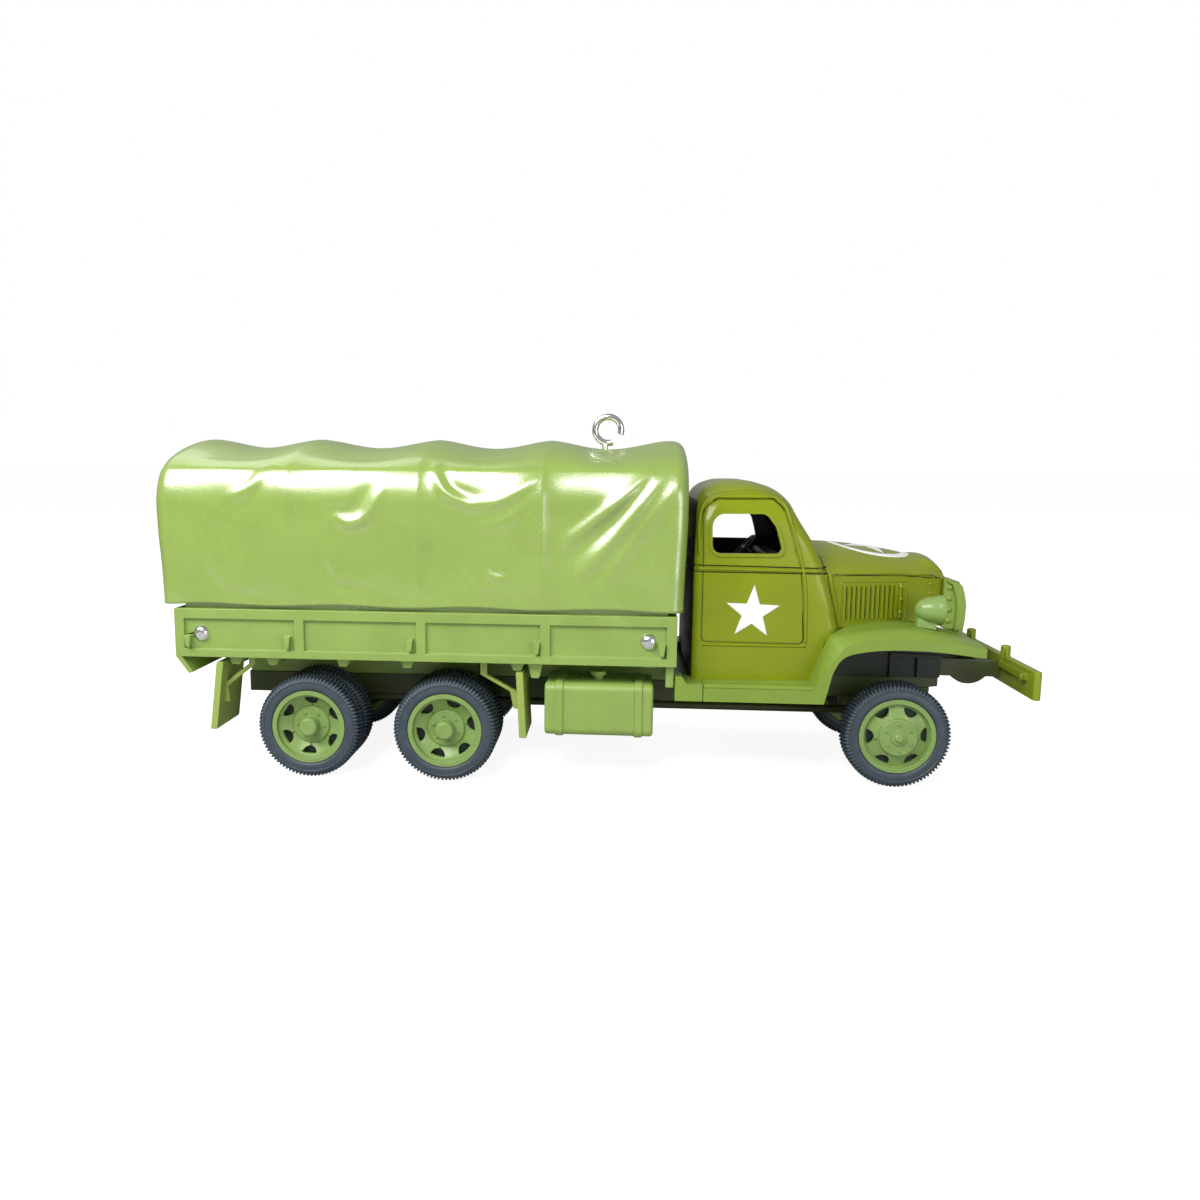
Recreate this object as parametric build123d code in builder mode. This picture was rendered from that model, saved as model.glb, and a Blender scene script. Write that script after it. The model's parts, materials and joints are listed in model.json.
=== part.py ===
from build123d import *
from math import cos, radians, sin, sqrt
import os

# A 1:32 toy of a three-axle military cargo truck: a cast cab and bonnet, moulded
# wings, body, canvas cover and mudflaps, a cast chassis, and steel axle pins.
# Millimetres. X runs forward, Y to the left, Z up from the floor; the origin is
# on the floor in the middle of the truck's length and width.

os.makedirs("parts", exist_ok=True)

# ------------------------------------------------------------ driving sizes
WHEELBASE = 130.2          # front axle to the middle of the rear pair
AXLE_SPACING = 35.0        # between the two rear axles
FRONT_OVERHANG = 31.1      # front axle to the bumper's front face
REAR_OVERHANG = 56.6       # middle of the rear pair to the cover's rear face
LENGTH = WHEELBASE + FRONT_OVERHANG + REAR_OVERHANG
FRONT_AXLE_X = LENGTH / 2 - FRONT_OVERHANG
BOGIE_X = FRONT_AXLE_X - WHEELBASE

CLEARANCE = 0.15           # between pieces that slot together
RUNNING_GAP = 0.4          # beside what turns

# Wheels and axle pins
TYRE_RADIUS = 13.2         # out to the tread's lugs
RIM_RADIUS = 9.4
BEAD_RADIUS = 8.7
DISC_RADIUS = 7.9
HUB_PLATE_RADIUS = 4.7
HUB_BORE_DEPTH = 1.0       # solid metal left over the pin's end
HAND_HOLE_RADIUS = 1.9
HAND_HOLE_RIM = 7.5        # the holes stop at this radius
HAND_HOLES = 6
NUT_RADIUS = 0.36
NUT_CIRCLE = 3.4
NUT_HEIGHT = 0.35
LIP_WIDTH = 0.9
SIDEWALL_BULGE = 0.3
FRONT_TYRE_WIDTH = 6.8
REAR_TYRE_WIDTH = 7.4
TWIN_GAP = 1.6
FRONT_WHEEL_FACE = 27.7    # rim's outer plane from the truck's middle
REAR_WHEEL_FACE = 34.0
PIN_RADIUS = 1.0
PIN_RUNNING_FIT = 0.05
HUB_TUBE_RADIUS = 2.3

# Chassis
RAIL_OUTER = 12.5          # outer face of each rail from the middle
RAIL_WALL = 2.0
RAIL_BOTTOM = 17.2
RAIL_TOP = 22.9
FRONT_RAIL_TOP = 25.5
HORN_BOTTOM = 25.8
HORN_TOP = 29.9
RAIL_TAIL = 40.6           # behind the middle of the rear pair
MEMBER_HEIGHT = 2.0
MEMBER_LENGTH = 4.0

# Bumper
BUMPER_HALF_WIDTH = 34.0
BUMPER_THICKNESS = 1.9
BUMPER_BOTTOM = 24.6
BUMPER_TOP = 31.6
POST_TOP = 34.3
POST_RADIUS = 1.2
POST_OFFSET = 13.05
HORN_BAR_REACH = 29.5

# Cargo body
BODY_REAR = 51.1           # behind the middle of the rear pair
BODY_LENGTH = 126.05
BODY_HALF_WIDTH = 34.9
BODY_BOTTOM = 30.9
BODY_TOP = 43.3
BOTTOM_RAIL_HEIGHT = 2.1
TOP_RAIL_HEIGHT = 2.6
POST_WIDTH = 2.5
BAYS = 4
PANEL_RECESS = 0.8
BODY_WALL = 2.0
FLOOR_THICKNESS = 1.7
SILL_HALF_WIDTH = 9.5
SILL_WIDTH = 3.0

# Moulded canvas cover
HEM_HEIGHT = 44.4
HEM_HALF_WIDTH = 34.8
SHOULDER_HEIGHT = 71.0
SHOULDER_HALF_WIDTH = 34.0
CROWN_HEIGHT = 86.1
BAY_SAG = 2.3
COVER_WALL = 1.3
PLUG_DEPTH = 3.4
PLUG_WALL = 1.1

# Cab and bonnet
CAB_REAR = 51.55           # behind the front axle
CAB_HALF_WIDTH = 28.0
CAB_FLOOR = 26.7           # where the cab stands on the running boards
CAB_WALL = 1.2
BELT_HEIGHT = 53.2
SEAM_DEPTH = 0.25
SEAM_WIDTH = 0.45
WINDOW_BEAD = 0.8
BEAD_HEIGHT = 0.3
NOSE_X = 14.1              # ahead of the front axle
LOUVRES = 12

# Wings and running boards
WING_HALF_WIDTH = 34.0
WING_LIP = 1.2
BOARD_BOTTOM = 22.45
BOARD_INNER = 24.0
BOARD_STEP = 25.4
APRON_OUTER = 14.0
APRON_WALL = 1.35

# Fuel tanks
TANK_LENGTH = 26.9
TANK_BOTTOM = 12.8
TANK_TOP = 26.1
TANK_INNER = 18.5
TANK_OUTER = 34.0
TANK_FRONT = 60.65         # behind the front axle
STRAP_WIDTH = 1.9
STRAP_HEIGHT = 0.35
STRAP_INSET = 3.65

# Mudflaps
FLAP_THICKNESS = 1.8
FLAP_INNER = 19.5
FLAP_OUTER = 34.5
ARM_WIDTH = 1.7

# Screws and the hanging eye
SCREW_HEIGHT = 36.95
SCREW_HEAD_RADIUS = 2.1
SCREW_HEAD_HEIGHT = 1.2
SCREW_RADIUS = 0.8
EYE_RING_RADIUS = 3.5
EYE_WIRE_RADIUS = 0.85
EYE_SHANK_RADIUS = 0.75
EYE_SHANK_BACK = 0.8       # shank's line behind the ring's middle
EYE_CENTRE_HEIGHT = 88.95
EYE_AHEAD = 56.9           # ahead of the middle of the rear pair
EYE_PAD_RADIUS = 4.0

# ------------------------------------------------------------ places derived
BUMPER_FRONT_X = FRONT_AXLE_X + FRONT_OVERHANG
BUMPER_REAR_X = BUMPER_FRONT_X - BUMPER_THICKNESS
BODY_REAR_X = BOGIE_X - BODY_REAR
BODY_FRONT_X = BODY_REAR_X + BODY_LENGTH
BODY_FLOOR = BODY_BOTTOM + FLOOR_THICKNESS
COVER_REAR_X = BOGIE_X - REAR_OVERHANG
CAB_REAR_X = FRONT_AXLE_X - CAB_REAR
NOSE_FRONT_X = FRONT_AXLE_X + NOSE_X
RAIL_REAR_X = BOGIE_X - RAIL_TAIL
RAIL_INNER = RAIL_OUTER - RAIL_WALL


def ahead(distance):
    """X of a point given by its distance ahead of the front axle."""
    return FRONT_AXLE_X + distance


def side_plane(offset):
    """Upright plane facing right, `offset` to the right of the middle."""
    return Plane.XZ.offset(offset)


def prism(points, outer, inner):
    """Side-view outline carried across from `outer` to `inner`, to the right."""
    with BuildPart() as solid:
        with BuildSketch(side_plane(outer)):
            Polygon(points)
        extrude(amount=inner - outer)
    return solid.part


def block(x0, x1, y0, y1, z0, z1):
    """Rectangular block between two corners."""
    with BuildPart() as solid:
        with BuildSketch(Plane.XY.offset(z0)):
            with Locations(((x0 + x1) / 2, (y0 + y1) / 2)):
                Rectangle(x1 - x0, y1 - y0)
        extrude(amount=z1 - z0)
    return solid.part


def export(part, label):
    """Label a finished piece and write its file."""
    part.label = label
    export_step(part, f"parts/{label}.step")


# ------------------------------------------------------------ wheels and tyres
# name, x, rim face, tyre width, number of tyres a side, turn of the disc (degrees)
AXLES = (
    ("front", FRONT_AXLE_X, FRONT_WHEEL_FACE, FRONT_TYRE_WIDTH, 1, 3),
    ("middle", BOGIE_X + AXLE_SPACING / 2, REAR_WHEEL_FACE, REAR_TYRE_WIDTH, 2, 13),
    ("rear", BOGIE_X - AXLE_SPACING / 2, REAR_WHEEL_FACE, REAR_TYRE_WIDTH, 2, 27),
)
# Disc faces from the middle outwards: radius, depth behind the rim's outer plane
FRONT_DISC = (
    (0, -2.1), (0.8, -2.1), (1.1, -1.8), (1.1, -1.5), (1.8, -1.5), (1.8, -1.0),
    (HUB_PLATE_RADIUS - 0.2, -1.0), (HUB_PLATE_RADIUS, -0.8), (HUB_PLATE_RADIUS, -0.2),
    (DISC_RADIUS, 1.3),
)
REAR_DISC = (
    (0, -0.6), (1.9, -0.6), (2.3, -0.2), (2.35, 2.5), (HUB_PLATE_RADIUS - 0.2, 2.5),
    (HUB_PLATE_RADIUS, 2.7), (HUB_PLATE_RADIUS, 3.1), (DISC_RADIUS, 1.3),
)
DISC_WALL = 1.2
HUB_FACE = {1: -1.0, 2: 2.5}      # depth of the nut plate, by tyres a side


def axle_width(width, tyres):
    """Width of the rubber on one side of an axle."""
    return tyres * width + (tyres - 1) * TWIN_GAP


def make_wheel(x, face, width, tyres, turn):
    """Right-hand wheel: disc, hub tube and one rim for each tyre."""
    disc = FRONT_DISC if tyres == 1 else REAR_DISC
    full = axle_width(width, tyres)
    rims = []
    for rim in range(tyres):
        start = rim * (width + TWIN_GAP)
        rims += [
            (RIM_RADIUS, start), (RIM_RADIUS, start + LIP_WIDTH),
            (BEAD_RADIUS, start + LIP_WIDTH + 0.4),
            (BEAD_RADIUS, start + width - LIP_WIDTH - 0.4),
            (RIM_RADIUS, start + width - LIP_WIDTH), (RIM_RADIUS, start + width),
        ]
        if rim + 1 < tyres:
            rims += [(BEAD_RADIUS, start + width), (BEAD_RADIUS, start + width + TWIN_GAP)]
    hub_back = disc[-2][1] + DISC_WALL
    profile = list(disc) + [(DISC_RADIUS + 0.3, 1.3), (DISC_RADIUS + 0.3, 0)] + rims + [
        (DISC_RADIUS, full), (DISC_RADIUS, 1.3 + DISC_WALL),
        (HUB_PLATE_RADIUS, hub_back), (HUB_TUBE_RADIUS, hub_back), (HUB_TUBE_RADIUS, full),
        (PIN_RADIUS, full), (PIN_RADIUS, disc[0][1] + HUB_BORE_DEPTH),
        (0, disc[0][1] + HUB_BORE_DEPTH),
    ]
    centre = (x, 0, TYRE_RADIUS)
    with BuildPart() as wheel:
        with BuildSketch(Plane(origin=centre)):
            Polygon([(radius, depth - face) for radius, depth in profile])
        revolve(axis=Axis(centre, (0, 1, 0)))
        wheel_face = Plane(origin=(x, -face, TYRE_RADIUS), x_dir=(1, 0, 0), z_dir=(0, -1, 0))
        with BuildSketch(wheel_face):
            with PolarLocations(HAND_HOLE_RIM, HAND_HOLES, start_angle=turn):
                Circle(HAND_HOLE_RADIUS)
            Circle(HAND_HOLE_RIM, mode=Mode.INTERSECT)
        extrude(amount=-(LIP_WIDTH + 3 * DISC_WALL + 1), mode=Mode.SUBTRACT)
        with BuildSketch(wheel_face.offset(-HUB_FACE[tyres])):
            with PolarLocations(NUT_CIRCLE, HAND_HOLES, start_angle=turn + 30):
                Circle(NUT_RADIUS)
        extrude(amount=NUT_HEIGHT)
    return wheel.part


def make_tyre(x, face, width, tyres):
    """Right-hand rubber: one ring, or two that stand a twin gap apart."""
    centre = (x, 0, TYRE_RADIUS)
    with BuildPart() as tyre:
        for ring in range(tyres):
            near = face - ring * (width + TWIN_GAP)
            half = [
                (BEAD_RADIUS, LIP_WIDTH + 0.45), (RIM_RADIUS + 0.05, LIP_WIDTH + 0.05),
                (RIM_RADIUS + 0.05, 0.1), (RIM_RADIUS + 0.8, -SIDEWALL_BULGE),
                (TYRE_RADIUS - 1.1, -0.1), (TYRE_RADIUS - 0.3, 0.5), (TYRE_RADIUS, 1.2),
            ]
            other = [(radius, width - depth) for radius, depth in reversed(half)]
            with BuildSketch(Plane(origin=centre)):
                Polygon([(radius, depth - near) for radius, depth in half + other])
            revolve(axis=Axis(centre, (0, 1, 0)))
    return tyre.part


for axle_name, axle_x, rim_face, tyre_width, tyre_count, disc_turn in AXLES:
    wheel_right = make_wheel(axle_x, rim_face, tyre_width, tyre_count, disc_turn)
    tyre_right = make_tyre(axle_x, rim_face, tyre_width, tyre_count)
    for piece, kind in ((wheel_right, "wheel"), (tyre_right, "tyre")):
        export(piece, f"{kind}_{axle_name}_right")
        with BuildPart() as left_piece:
            mirror(piece, about=Plane.XZ)
        export(left_piece.part, f"{kind}_{axle_name}_left")
    tip = FRONT_DISC[0][1] if tyre_count == 1 else REAR_DISC[0][1]
    pin_half = rim_face - tip - HUB_BORE_DEPTH
    with BuildPart() as axle_pin:
        with BuildSketch(Plane(origin=(axle_x, pin_half, TYRE_RADIUS), x_dir=(1, 0, 0),
                               z_dir=(0, -1, 0))):
            Circle(PIN_RADIUS)
        extrude(amount=2 * pin_half)
    export(axle_pin.part, f"axle_pin_{axle_name}")

# ------------------------------------------------------------ axle housings
DIFF_RADIUS = 4.6
NOSE_REACH = 7.0
NOSE_RADIUS = 1.9
PAD_HALF_LENGTH = 2.5
SPRING_LEAF = 1.3
RAIL_KICK_START = ahead(-18.0)
RAIL_KICK_END = ahead(13.6)
RAIL_KICK_LOW = 19.1
RAIL_KICK_HIGH = 22.9


def rail_bottom(x):
    """Height of the front rail's sloping underside."""
    share = (x - RAIL_KICK_START) / (RAIL_KICK_END - RAIL_KICK_START)
    return RAIL_KICK_LOW + share * (RAIL_KICK_HIGH - RAIL_KICK_LOW)


for axle_name, axle_x, rim_face, tyre_width, tyre_count, disc_turn in AXLES:
    reach = rim_face - axle_width(tyre_width, tyre_count) - RUNNING_GAP
    centre = (axle_x, 0, TYRE_RADIUS)
    right_half = [
        (PIN_RADIUS + PIN_RUNNING_FIT, -reach), (HUB_TUBE_RADIUS, -reach),
        (HUB_TUBE_RADIUS, -6.0), (3.4, -5.0), (DIFF_RADIUS, -2.2),
    ]
    left_half = [(radius, -y) for radius, y in reversed(right_half)]
    with BuildPart() as housing:
        with BuildSketch(Plane(origin=centre)):
            Polygon(right_half + left_half)
        revolve(axis=Axis(centre, (0, 1, 0)))
        noses = {"front": (-1,), "middle": (-1, 1), "rear": (1,)}[axle_name]
        for way in noses:
            start = (axle_x + way * 3.0, 0, TYRE_RADIUS)
            with BuildSketch(Plane(origin=start, z_dir=(way, 0, 0))):
                Circle(NOSE_RADIUS)
            extrude(amount=NOSE_REACH - 3.0)
        for side in (-1, 1):
            with BuildSketch(Plane.XY.offset(TYRE_RADIUS + 1.2)):
                with Locations((axle_x, side * (RAIL_OUTER - RAIL_WALL / 2))):
                    Rectangle(2 * PAD_HALF_LENGTH, RAIL_WALL)
            extrude(amount=HUB_TUBE_RADIUS - 1.2)
    export(housing.part, f"axle_housing_{axle_name}")

# Front springs: leaves bowed between the rail's underside and the axle's pads
PAD_TOP = TYRE_RADIUS + HUB_TUBE_RADIUS
front_ends = (FRONT_AXLE_X - 11.5, FRONT_AXLE_X + 11.5)
front_spring = [
    (front_ends[0], rail_bottom(front_ends[0])),
    (front_ends[0], rail_bottom(front_ends[0]) - SPRING_LEAF),
    (FRONT_AXLE_X - PAD_HALF_LENGTH, PAD_TOP), (FRONT_AXLE_X + PAD_HALF_LENGTH, PAD_TOP),
    (front_ends[1], rail_bottom(front_ends[1]) - SPRING_LEAF),
    (front_ends[1], rail_bottom(front_ends[1])),
    (front_ends[1] - 2, rail_bottom(front_ends[1] - 2)),
    (FRONT_AXLE_X + PAD_HALF_LENGTH, PAD_TOP + 2 * SPRING_LEAF),
    (FRONT_AXLE_X - PAD_HALF_LENGTH, PAD_TOP + 2 * SPRING_LEAF),
    (front_ends[0] + 2, rail_bottom(front_ends[0] + 2)),
]
# Rear springs: clamped under the rail midway, with their ends on the axles' pads
half_spacing = AXLE_SPACING / 2
rear_spring = [
    (BOGIE_X - half_spacing - PAD_HALF_LENGTH, PAD_TOP),
    (BOGIE_X - half_spacing + PAD_HALF_LENGTH, PAD_TOP),
    (BOGIE_X - 5.0, PAD_TOP + 0.3), (BOGIE_X + 5.0, PAD_TOP + 0.3),
    (BOGIE_X + half_spacing - PAD_HALF_LENGTH, PAD_TOP),
    (BOGIE_X + half_spacing + PAD_HALF_LENGTH, PAD_TOP),
    (BOGIE_X + half_spacing + PAD_HALF_LENGTH, PAD_TOP + 0.8),
    (BOGIE_X + 3.5, RAIL_BOTTOM), (BOGIE_X - 3.5, RAIL_BOTTOM),
    (BOGIE_X - half_spacing - PAD_HALF_LENGTH, PAD_TOP + 0.8),
]
for spring_name, spring_points in (("front", front_spring), ("rear", rear_spring)):
    right_spring = prism(spring_points, RAIL_OUTER, RAIL_INNER)
    with BuildPart() as springs:
        add(right_spring)
        mirror(right_spring, about=Plane.XZ)
    export(springs.part, f"leaf_springs_{spring_name}")

# ------------------------------------------------------------ chassis
HORN_ROOT = ahead(10.6)
ARC_START = ahead(16.8)
ARC_END = ahead(25.5)
ARC_DEPTH = 2.0
# Cross members: distance ahead of (+) or behind (-) the middle of the rear pair
MEMBERS = (-36.6, -11.0, 11.0, 52.3, 70.3)

with BuildPart() as chassis_frame:
    with BuildSketch(side_plane(RAIL_OUTER)):
        with BuildLine():
            Polyline(
                (ARC_END, HORN_BOTTOM), (BUMPER_REAR_X, HORN_BOTTOM),
                (BUMPER_REAR_X, HORN_TOP), (HORN_ROOT + 2.0, HORN_TOP),
                (HORN_ROOT, FRONT_RAIL_TOP), (ahead(-18.5), FRONT_RAIL_TOP),
                (ahead(-20.7), RAIL_TOP), (RAIL_REAR_X, RAIL_TOP),
                (RAIL_REAR_X, RAIL_BOTTOM), (ahead(-48.0), RAIL_BOTTOM),
                (RAIL_KICK_START, RAIL_KICK_LOW), (RAIL_KICK_END, RAIL_KICK_HIGH),
                (RAIL_KICK_END, HORN_BOTTOM), (ARC_START, HORN_BOTTOM),
            )
            ThreePointArc(
                (ARC_START, HORN_BOTTOM),
                ((ARC_START + ARC_END) / 2, HORN_BOTTOM - ARC_DEPTH),
                (ARC_END, HORN_BOTTOM),
            )
        make_face()
    extrude(amount=-RAIL_WALL)
    mirror(about=Plane.XZ)
    with BuildSketch(Plane.XY.offset(RAIL_TOP - MEMBER_HEIGHT)):
        for member in MEMBERS:
            with Locations((BOGIE_X + member, 0)):
                Rectangle(MEMBER_LENGTH, 2 * RAIL_INNER)
    extrude(amount=MEMBER_HEIGHT)
    with BuildSketch(Plane.XY.offset(HORN_BOTTOM)):
        with Locations((BUMPER_REAR_X - 2.0, 0)):
            Rectangle(4.0, 2 * RAIL_INNER)
    extrude(amount=HORN_TOP - HORN_BOTTOM - 0.8)
export(chassis_frame.part, "chassis_frame")

# Gearbox, transfer box and shafts, hung under the frame
BOX_TOP = RAIL_TOP - MEMBER_HEIGHT
TRANSFER_X = BOGIE_X + MEMBERS[3]
GEARBOX_X0 = ahead(-52.0)
GEARBOX_X1 = ahead(-21.5)
SHAFT_RADIUS = 1.1
shaft_runs = (
    (BOGIE_X - AXLE_SPACING / 2 + NOSE_REACH, BOGIE_X + AXLE_SPACING / 2 - NOSE_REACH),
    (BOGIE_X + AXLE_SPACING / 2 + NOSE_REACH, TRANSFER_X - 5.0),
    (TRANSFER_X + 5.0, FRONT_AXLE_X - NOSE_REACH),
)
with BuildPart() as driveline:
    for run_start, run_end in shaft_runs:
        with BuildSketch(Plane(origin=(run_start, 0, TYRE_RADIUS), z_dir=(1, 0, 0))):
            Circle(SHAFT_RADIUS)
        extrude(amount=run_end - run_start)
    with BuildSketch(Plane.XY.offset(TYRE_RADIUS - 2.5)):
        with Locations((TRANSFER_X, 0)):
            Rectangle(12.0, 9.0)
    extrude(amount=BOX_TOP - TYRE_RADIUS + 2.5)
    with BuildSketch(Plane(origin=(TRANSFER_X, 0, 18.6), z_dir=(1, 0, 0))):
        Circle(SHAFT_RADIUS)
    extrude(amount=GEARBOX_X0 - TRANSFER_X)
    with BuildSketch(Plane.XY.offset(16.4)):
        with Locations(((GEARBOX_X0 + GEARBOX_X1) / 2, 0)):
            Rectangle(GEARBOX_X1 - GEARBOX_X0, 11.0)
    extrude(amount=RAIL_TOP - 16.4)
export(driveline.part, "driveline")

# ------------------------------------------------------------ bumper
with BuildPart() as front_bumper:
    with BuildSketch(Plane.XY.offset(BUMPER_BOTTOM)):
        with Locations(((BUMPER_REAR_X + BUMPER_FRONT_X) / 2, 0)):
            Rectangle(BUMPER_THICKNESS, 2 * BUMPER_HALF_WIDTH)
    extrude(amount=BUMPER_TOP - BUMPER_BOTTOM)
    fillet(front_bumper.edges().filter_by(Axis.Z), radius=0.8)
    fillet(front_bumper.faces().sort_by(Axis.Z)[-1].edges(), radius=0.4)
    with BuildSketch(Plane.XY.offset(HORN_TOP + CLEARANCE)):
        with Locations((BUMPER_REAR_X + 0.7, POST_OFFSET), (BUMPER_REAR_X + 0.7, -POST_OFFSET)):
            Circle(POST_RADIUS)
    extrude(amount=POST_TOP - HORN_TOP - CLEARANCE)
    fillet(front_bumper.faces().sort_by(Axis.Z)[-2:].edges(), radius=0.5)
    for side in (-1, 1):
        middle = side * (RAIL_OUTER + 0.3 + HORN_BAR_REACH) / 2
        with BuildSketch(Plane.XY.offset(28.6)):
            with Locations((BUMPER_REAR_X - 0.35, middle)):
                Rectangle(1.1, HORN_BAR_REACH - RAIL_OUTER - 0.3)
        extrude(amount=1.5)
        with BuildSketch(Plane(origin=(BUMPER_REAR_X, side * (HORN_BAR_REACH - 1.0), 29.35),
                               z_dir=(-1, 0, 0))):
            Circle(0.9)
        extrude(amount=1.5)
export(front_bumper.part, "front_bumper")

# ------------------------------------------------------------ wings and boards
# The wing's upper line at its rim and further in: a leg, a bend and a long crown.
# leg foot, leg top, bend middle, crown start, crown middle, tip (ahead of axle, height)
RIM_LINE = ((-22.7, 26.0), (-16.9, 34.4), (-14.4, 37.0), (-9.9, 38.2), (4.0, 38.3), (17.9, 36.9))
TOP_LINE = ((-22.0, 26.7), (-18.9, 34.8), (-17.3, 38.1), (-13.6, 39.5), (1.0, 40.7), (17.9, 37.4))
LOWER_RIM = ((-19.6, 22.0), (-17.4, 30.8), (-15.3, 33.9), (-10.9, 35.4), (4.0, 36.0), (17.9, 34.6))
LOWER_TOP = ((-19.6, 26.0), (-17.5, 34.2), (-16.1, 36.9), (-12.6, 38.2), (1.0, 39.4), (17.9, 36.1))
WING_CREST = 29.0          # where the rounding from the rim ends


def wing_outline(line, base):
    """Edges of the side view under one upper line, down to `base`."""
    foot, leg, bend, crown, mid, tip = [(ahead(x), z) for x, z in line]
    with BuildLine() as edge:
        Line((foot[0], base), foot)
        Line(foot, leg)
        ThreePointArc(leg, bend, crown)
        ThreePointArc(crown, mid, tip)
        Line(tip, (tip[0], base))
        Line((tip[0], base), (foot[0], base))
    return edge.edges()


def wing_form(rim_line, top_line, base, rim):
    """Solid under the wings' upper surface, from side to side."""
    with BuildPart() as form:
        with BuildSketch(side_plane(rim)):
            make_face(wing_outline(rim_line, base))
        with BuildSketch(side_plane(WING_CREST)):
            make_face(wing_outline(top_line, base))
        loft(ruled=True)
        mirror(about=Plane.XZ)
        with BuildSketch(side_plane(WING_CREST)):
            make_face(wing_outline(top_line, base))
        extrude(amount=-2 * WING_CREST)
    return form.part


wing_envelope = wing_form(RIM_LINE, TOP_LINE, BOARD_BOTTOM, WING_HALF_WIDTH)
BOARD_REAR_X = ahead(-55.45)
BOARD_FRONT_X = ahead(-19.4)
BLOCK_LENGTH = 6.7

with BuildPart() as arch_cutter:
    with BuildSketch(side_plane(WING_HALF_WIDTH + 1)):
        make_face(wing_outline(LOWER_RIM, BOARD_BOTTOM - 4))
    extrude(amount=-2 * (WING_HALF_WIDTH + 1))
with BuildPart() as sheet_cutter:
    with BuildSketch(side_plane(WING_CREST)):
        make_face(wing_outline(LOWER_TOP, BOARD_BOTTOM - 4))
    extrude(amount=-2 * WING_CREST)
with BuildPart() as rim_cutter:
    with BuildSketch(side_plane(WING_HALF_WIDTH - WING_LIP)):
        make_face(wing_outline(LOWER_RIM, BOARD_BOTTOM - 4))
    with BuildSketch(side_plane(WING_CREST)):
        make_face(wing_outline(LOWER_TOP, BOARD_BOTTOM - 4))
    loft(ruled=True)
    mirror(about=Plane.XZ)

with BuildPart() as wings:
    add(wing_envelope)
    add(arch_cutter.part, mode=Mode.SUBTRACT)
    add(sheet_cutter.part, mode=Mode.SUBTRACT)
    add(rim_cutter.part, mode=Mode.SUBTRACT)
    with BuildSketch(side_plane(APRON_OUTER)):
        Polygon([(ahead(-17.0), FRONT_RAIL_TOP), (ahead(13.5), FRONT_RAIL_TOP),
                 (ahead(13.5), 36.8), (ahead(1.0), 39.6), (ahead(-11.5), 38.6),
                 (ahead(-17.0), 35.6)])
    extrude(amount=-APRON_WALL)
    mirror(about=Plane.XZ)
    with BuildSketch(side_plane(WING_HALF_WIDTH)):
        Polygon([(BOARD_REAR_X, BOARD_BOTTOM), (BOARD_FRONT_X, BOARD_BOTTOM),
                 (BOARD_FRONT_X, BOARD_STEP), (BOARD_REAR_X, BOARD_STEP)])
    extrude(amount=-(WING_HALF_WIDTH - BOARD_INNER))
    with BuildSketch(side_plane(WING_HALF_WIDTH - 0.35)):
        Polygon([(BOARD_REAR_X, BOARD_STEP), (BOARD_FRONT_X - 1.2, BOARD_STEP),
                 (BOARD_FRONT_X - 1.2, CAB_FLOOR), (BOARD_REAR_X, CAB_FLOOR)])
    extrude(amount=-(WING_HALF_WIDTH - 0.35 - BOARD_INNER))
    with BuildSketch(side_plane(WING_HALF_WIDTH)):
        Polygon([(BOARD_REAR_X, BOARD_BOTTOM), (BOARD_REAR_X + BLOCK_LENGTH, BOARD_BOTTOM),
                 (BOARD_REAR_X + BLOCK_LENGTH, CAB_FLOOR), (BOARD_REAR_X + 2.7, CAB_FLOOR),
                 (BOARD_REAR_X + 1.6, 28.5), (BOARD_REAR_X, 28.5)])
    extrude(amount=-(WING_HALF_WIDTH - CAB_HALF_WIDTH - 0.5))
    mirror(about=Plane.XZ)
    with BuildSketch(Plane.XY.offset(RAIL_TOP)):
        with Locations(((BOARD_REAR_X + ahead(-20.9)) / 2, 0)):
            Rectangle(ahead(-20.9) - BOARD_REAR_X, 2 * BOARD_INNER)
    extrude(amount=1.5)
    with BuildSketch(side_plane(RAIL_OUTER + CLEARANCE)):
        Polygon(
            (ahead(-24.0), BOARD_BOTTOM - 1), (ahead(-15.0), BOARD_BOTTOM - 1),
            (ahead(-15.0), FRONT_RAIL_TOP + CLEARANCE), (ahead(-20.9), FRONT_RAIL_TOP + CLEARANCE),
            (ahead(-20.9), RAIL_TOP), (ahead(-24.0), RAIL_TOP),
        )
    extrude(amount=-2 * (RAIL_OUTER + CLEARANCE), mode=Mode.SUBTRACT)
export(wings.part, "wings_and_boards")

# ------------------------------------------------------------ cab and bonnet
# Level slices of the cab: height, rear X, front X, half width at the rear, at the
# front, rear corner radius, front corner radius (X ahead of the front axle)
CAB_SLICES = (
    (CAB_FLOOR, -51.5, -14.9, 27.7, 26.0, 2.5, 3.0),
    (40.0, -51.5, -15.0, CAB_HALF_WIDTH, 26.0, 2.5, 3.0),
    (BELT_HEIGHT, -51.5, -18.6, 27.9, 25.9, 2.5, 3.0),
    (58.8, -51.4, -20.6, 27.5, 25.0, 3.0, 3.5),
    (66.8, -51.1, -25.4, 26.4, 24.3, 4.0, 4.0),
    (70.9, -50.4, -27.6, 25.0, 23.0, 5.5, 5.5),
    (73.7, -48.8, -30.6, 22.4, 20.4, 7.0, 7.0),
    (75.2, -46.2, -34.4, 18.4, 16.8, 5.5, 5.5),
    (75.9, -43.0, -38.0, 13.5, 12.5, 2.2, 2.2),
)
# Upright slices of the bonnet: X ahead of the axle, half width, shoulder height,
# crown height
BONNET_SLICES = (
    (-21.5, 25.8, 53.2, 59.9),
    (-8.0, 20.6, 53.2, 59.0),
    (5.0, 15.6, 52.6, 56.9),
    (12.0, 12.6, 51.6, 54.2),
    (NOSE_X, 11.4, 50.6, 51.6),
)
BONNET_BOTTOM = 37.0


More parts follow.
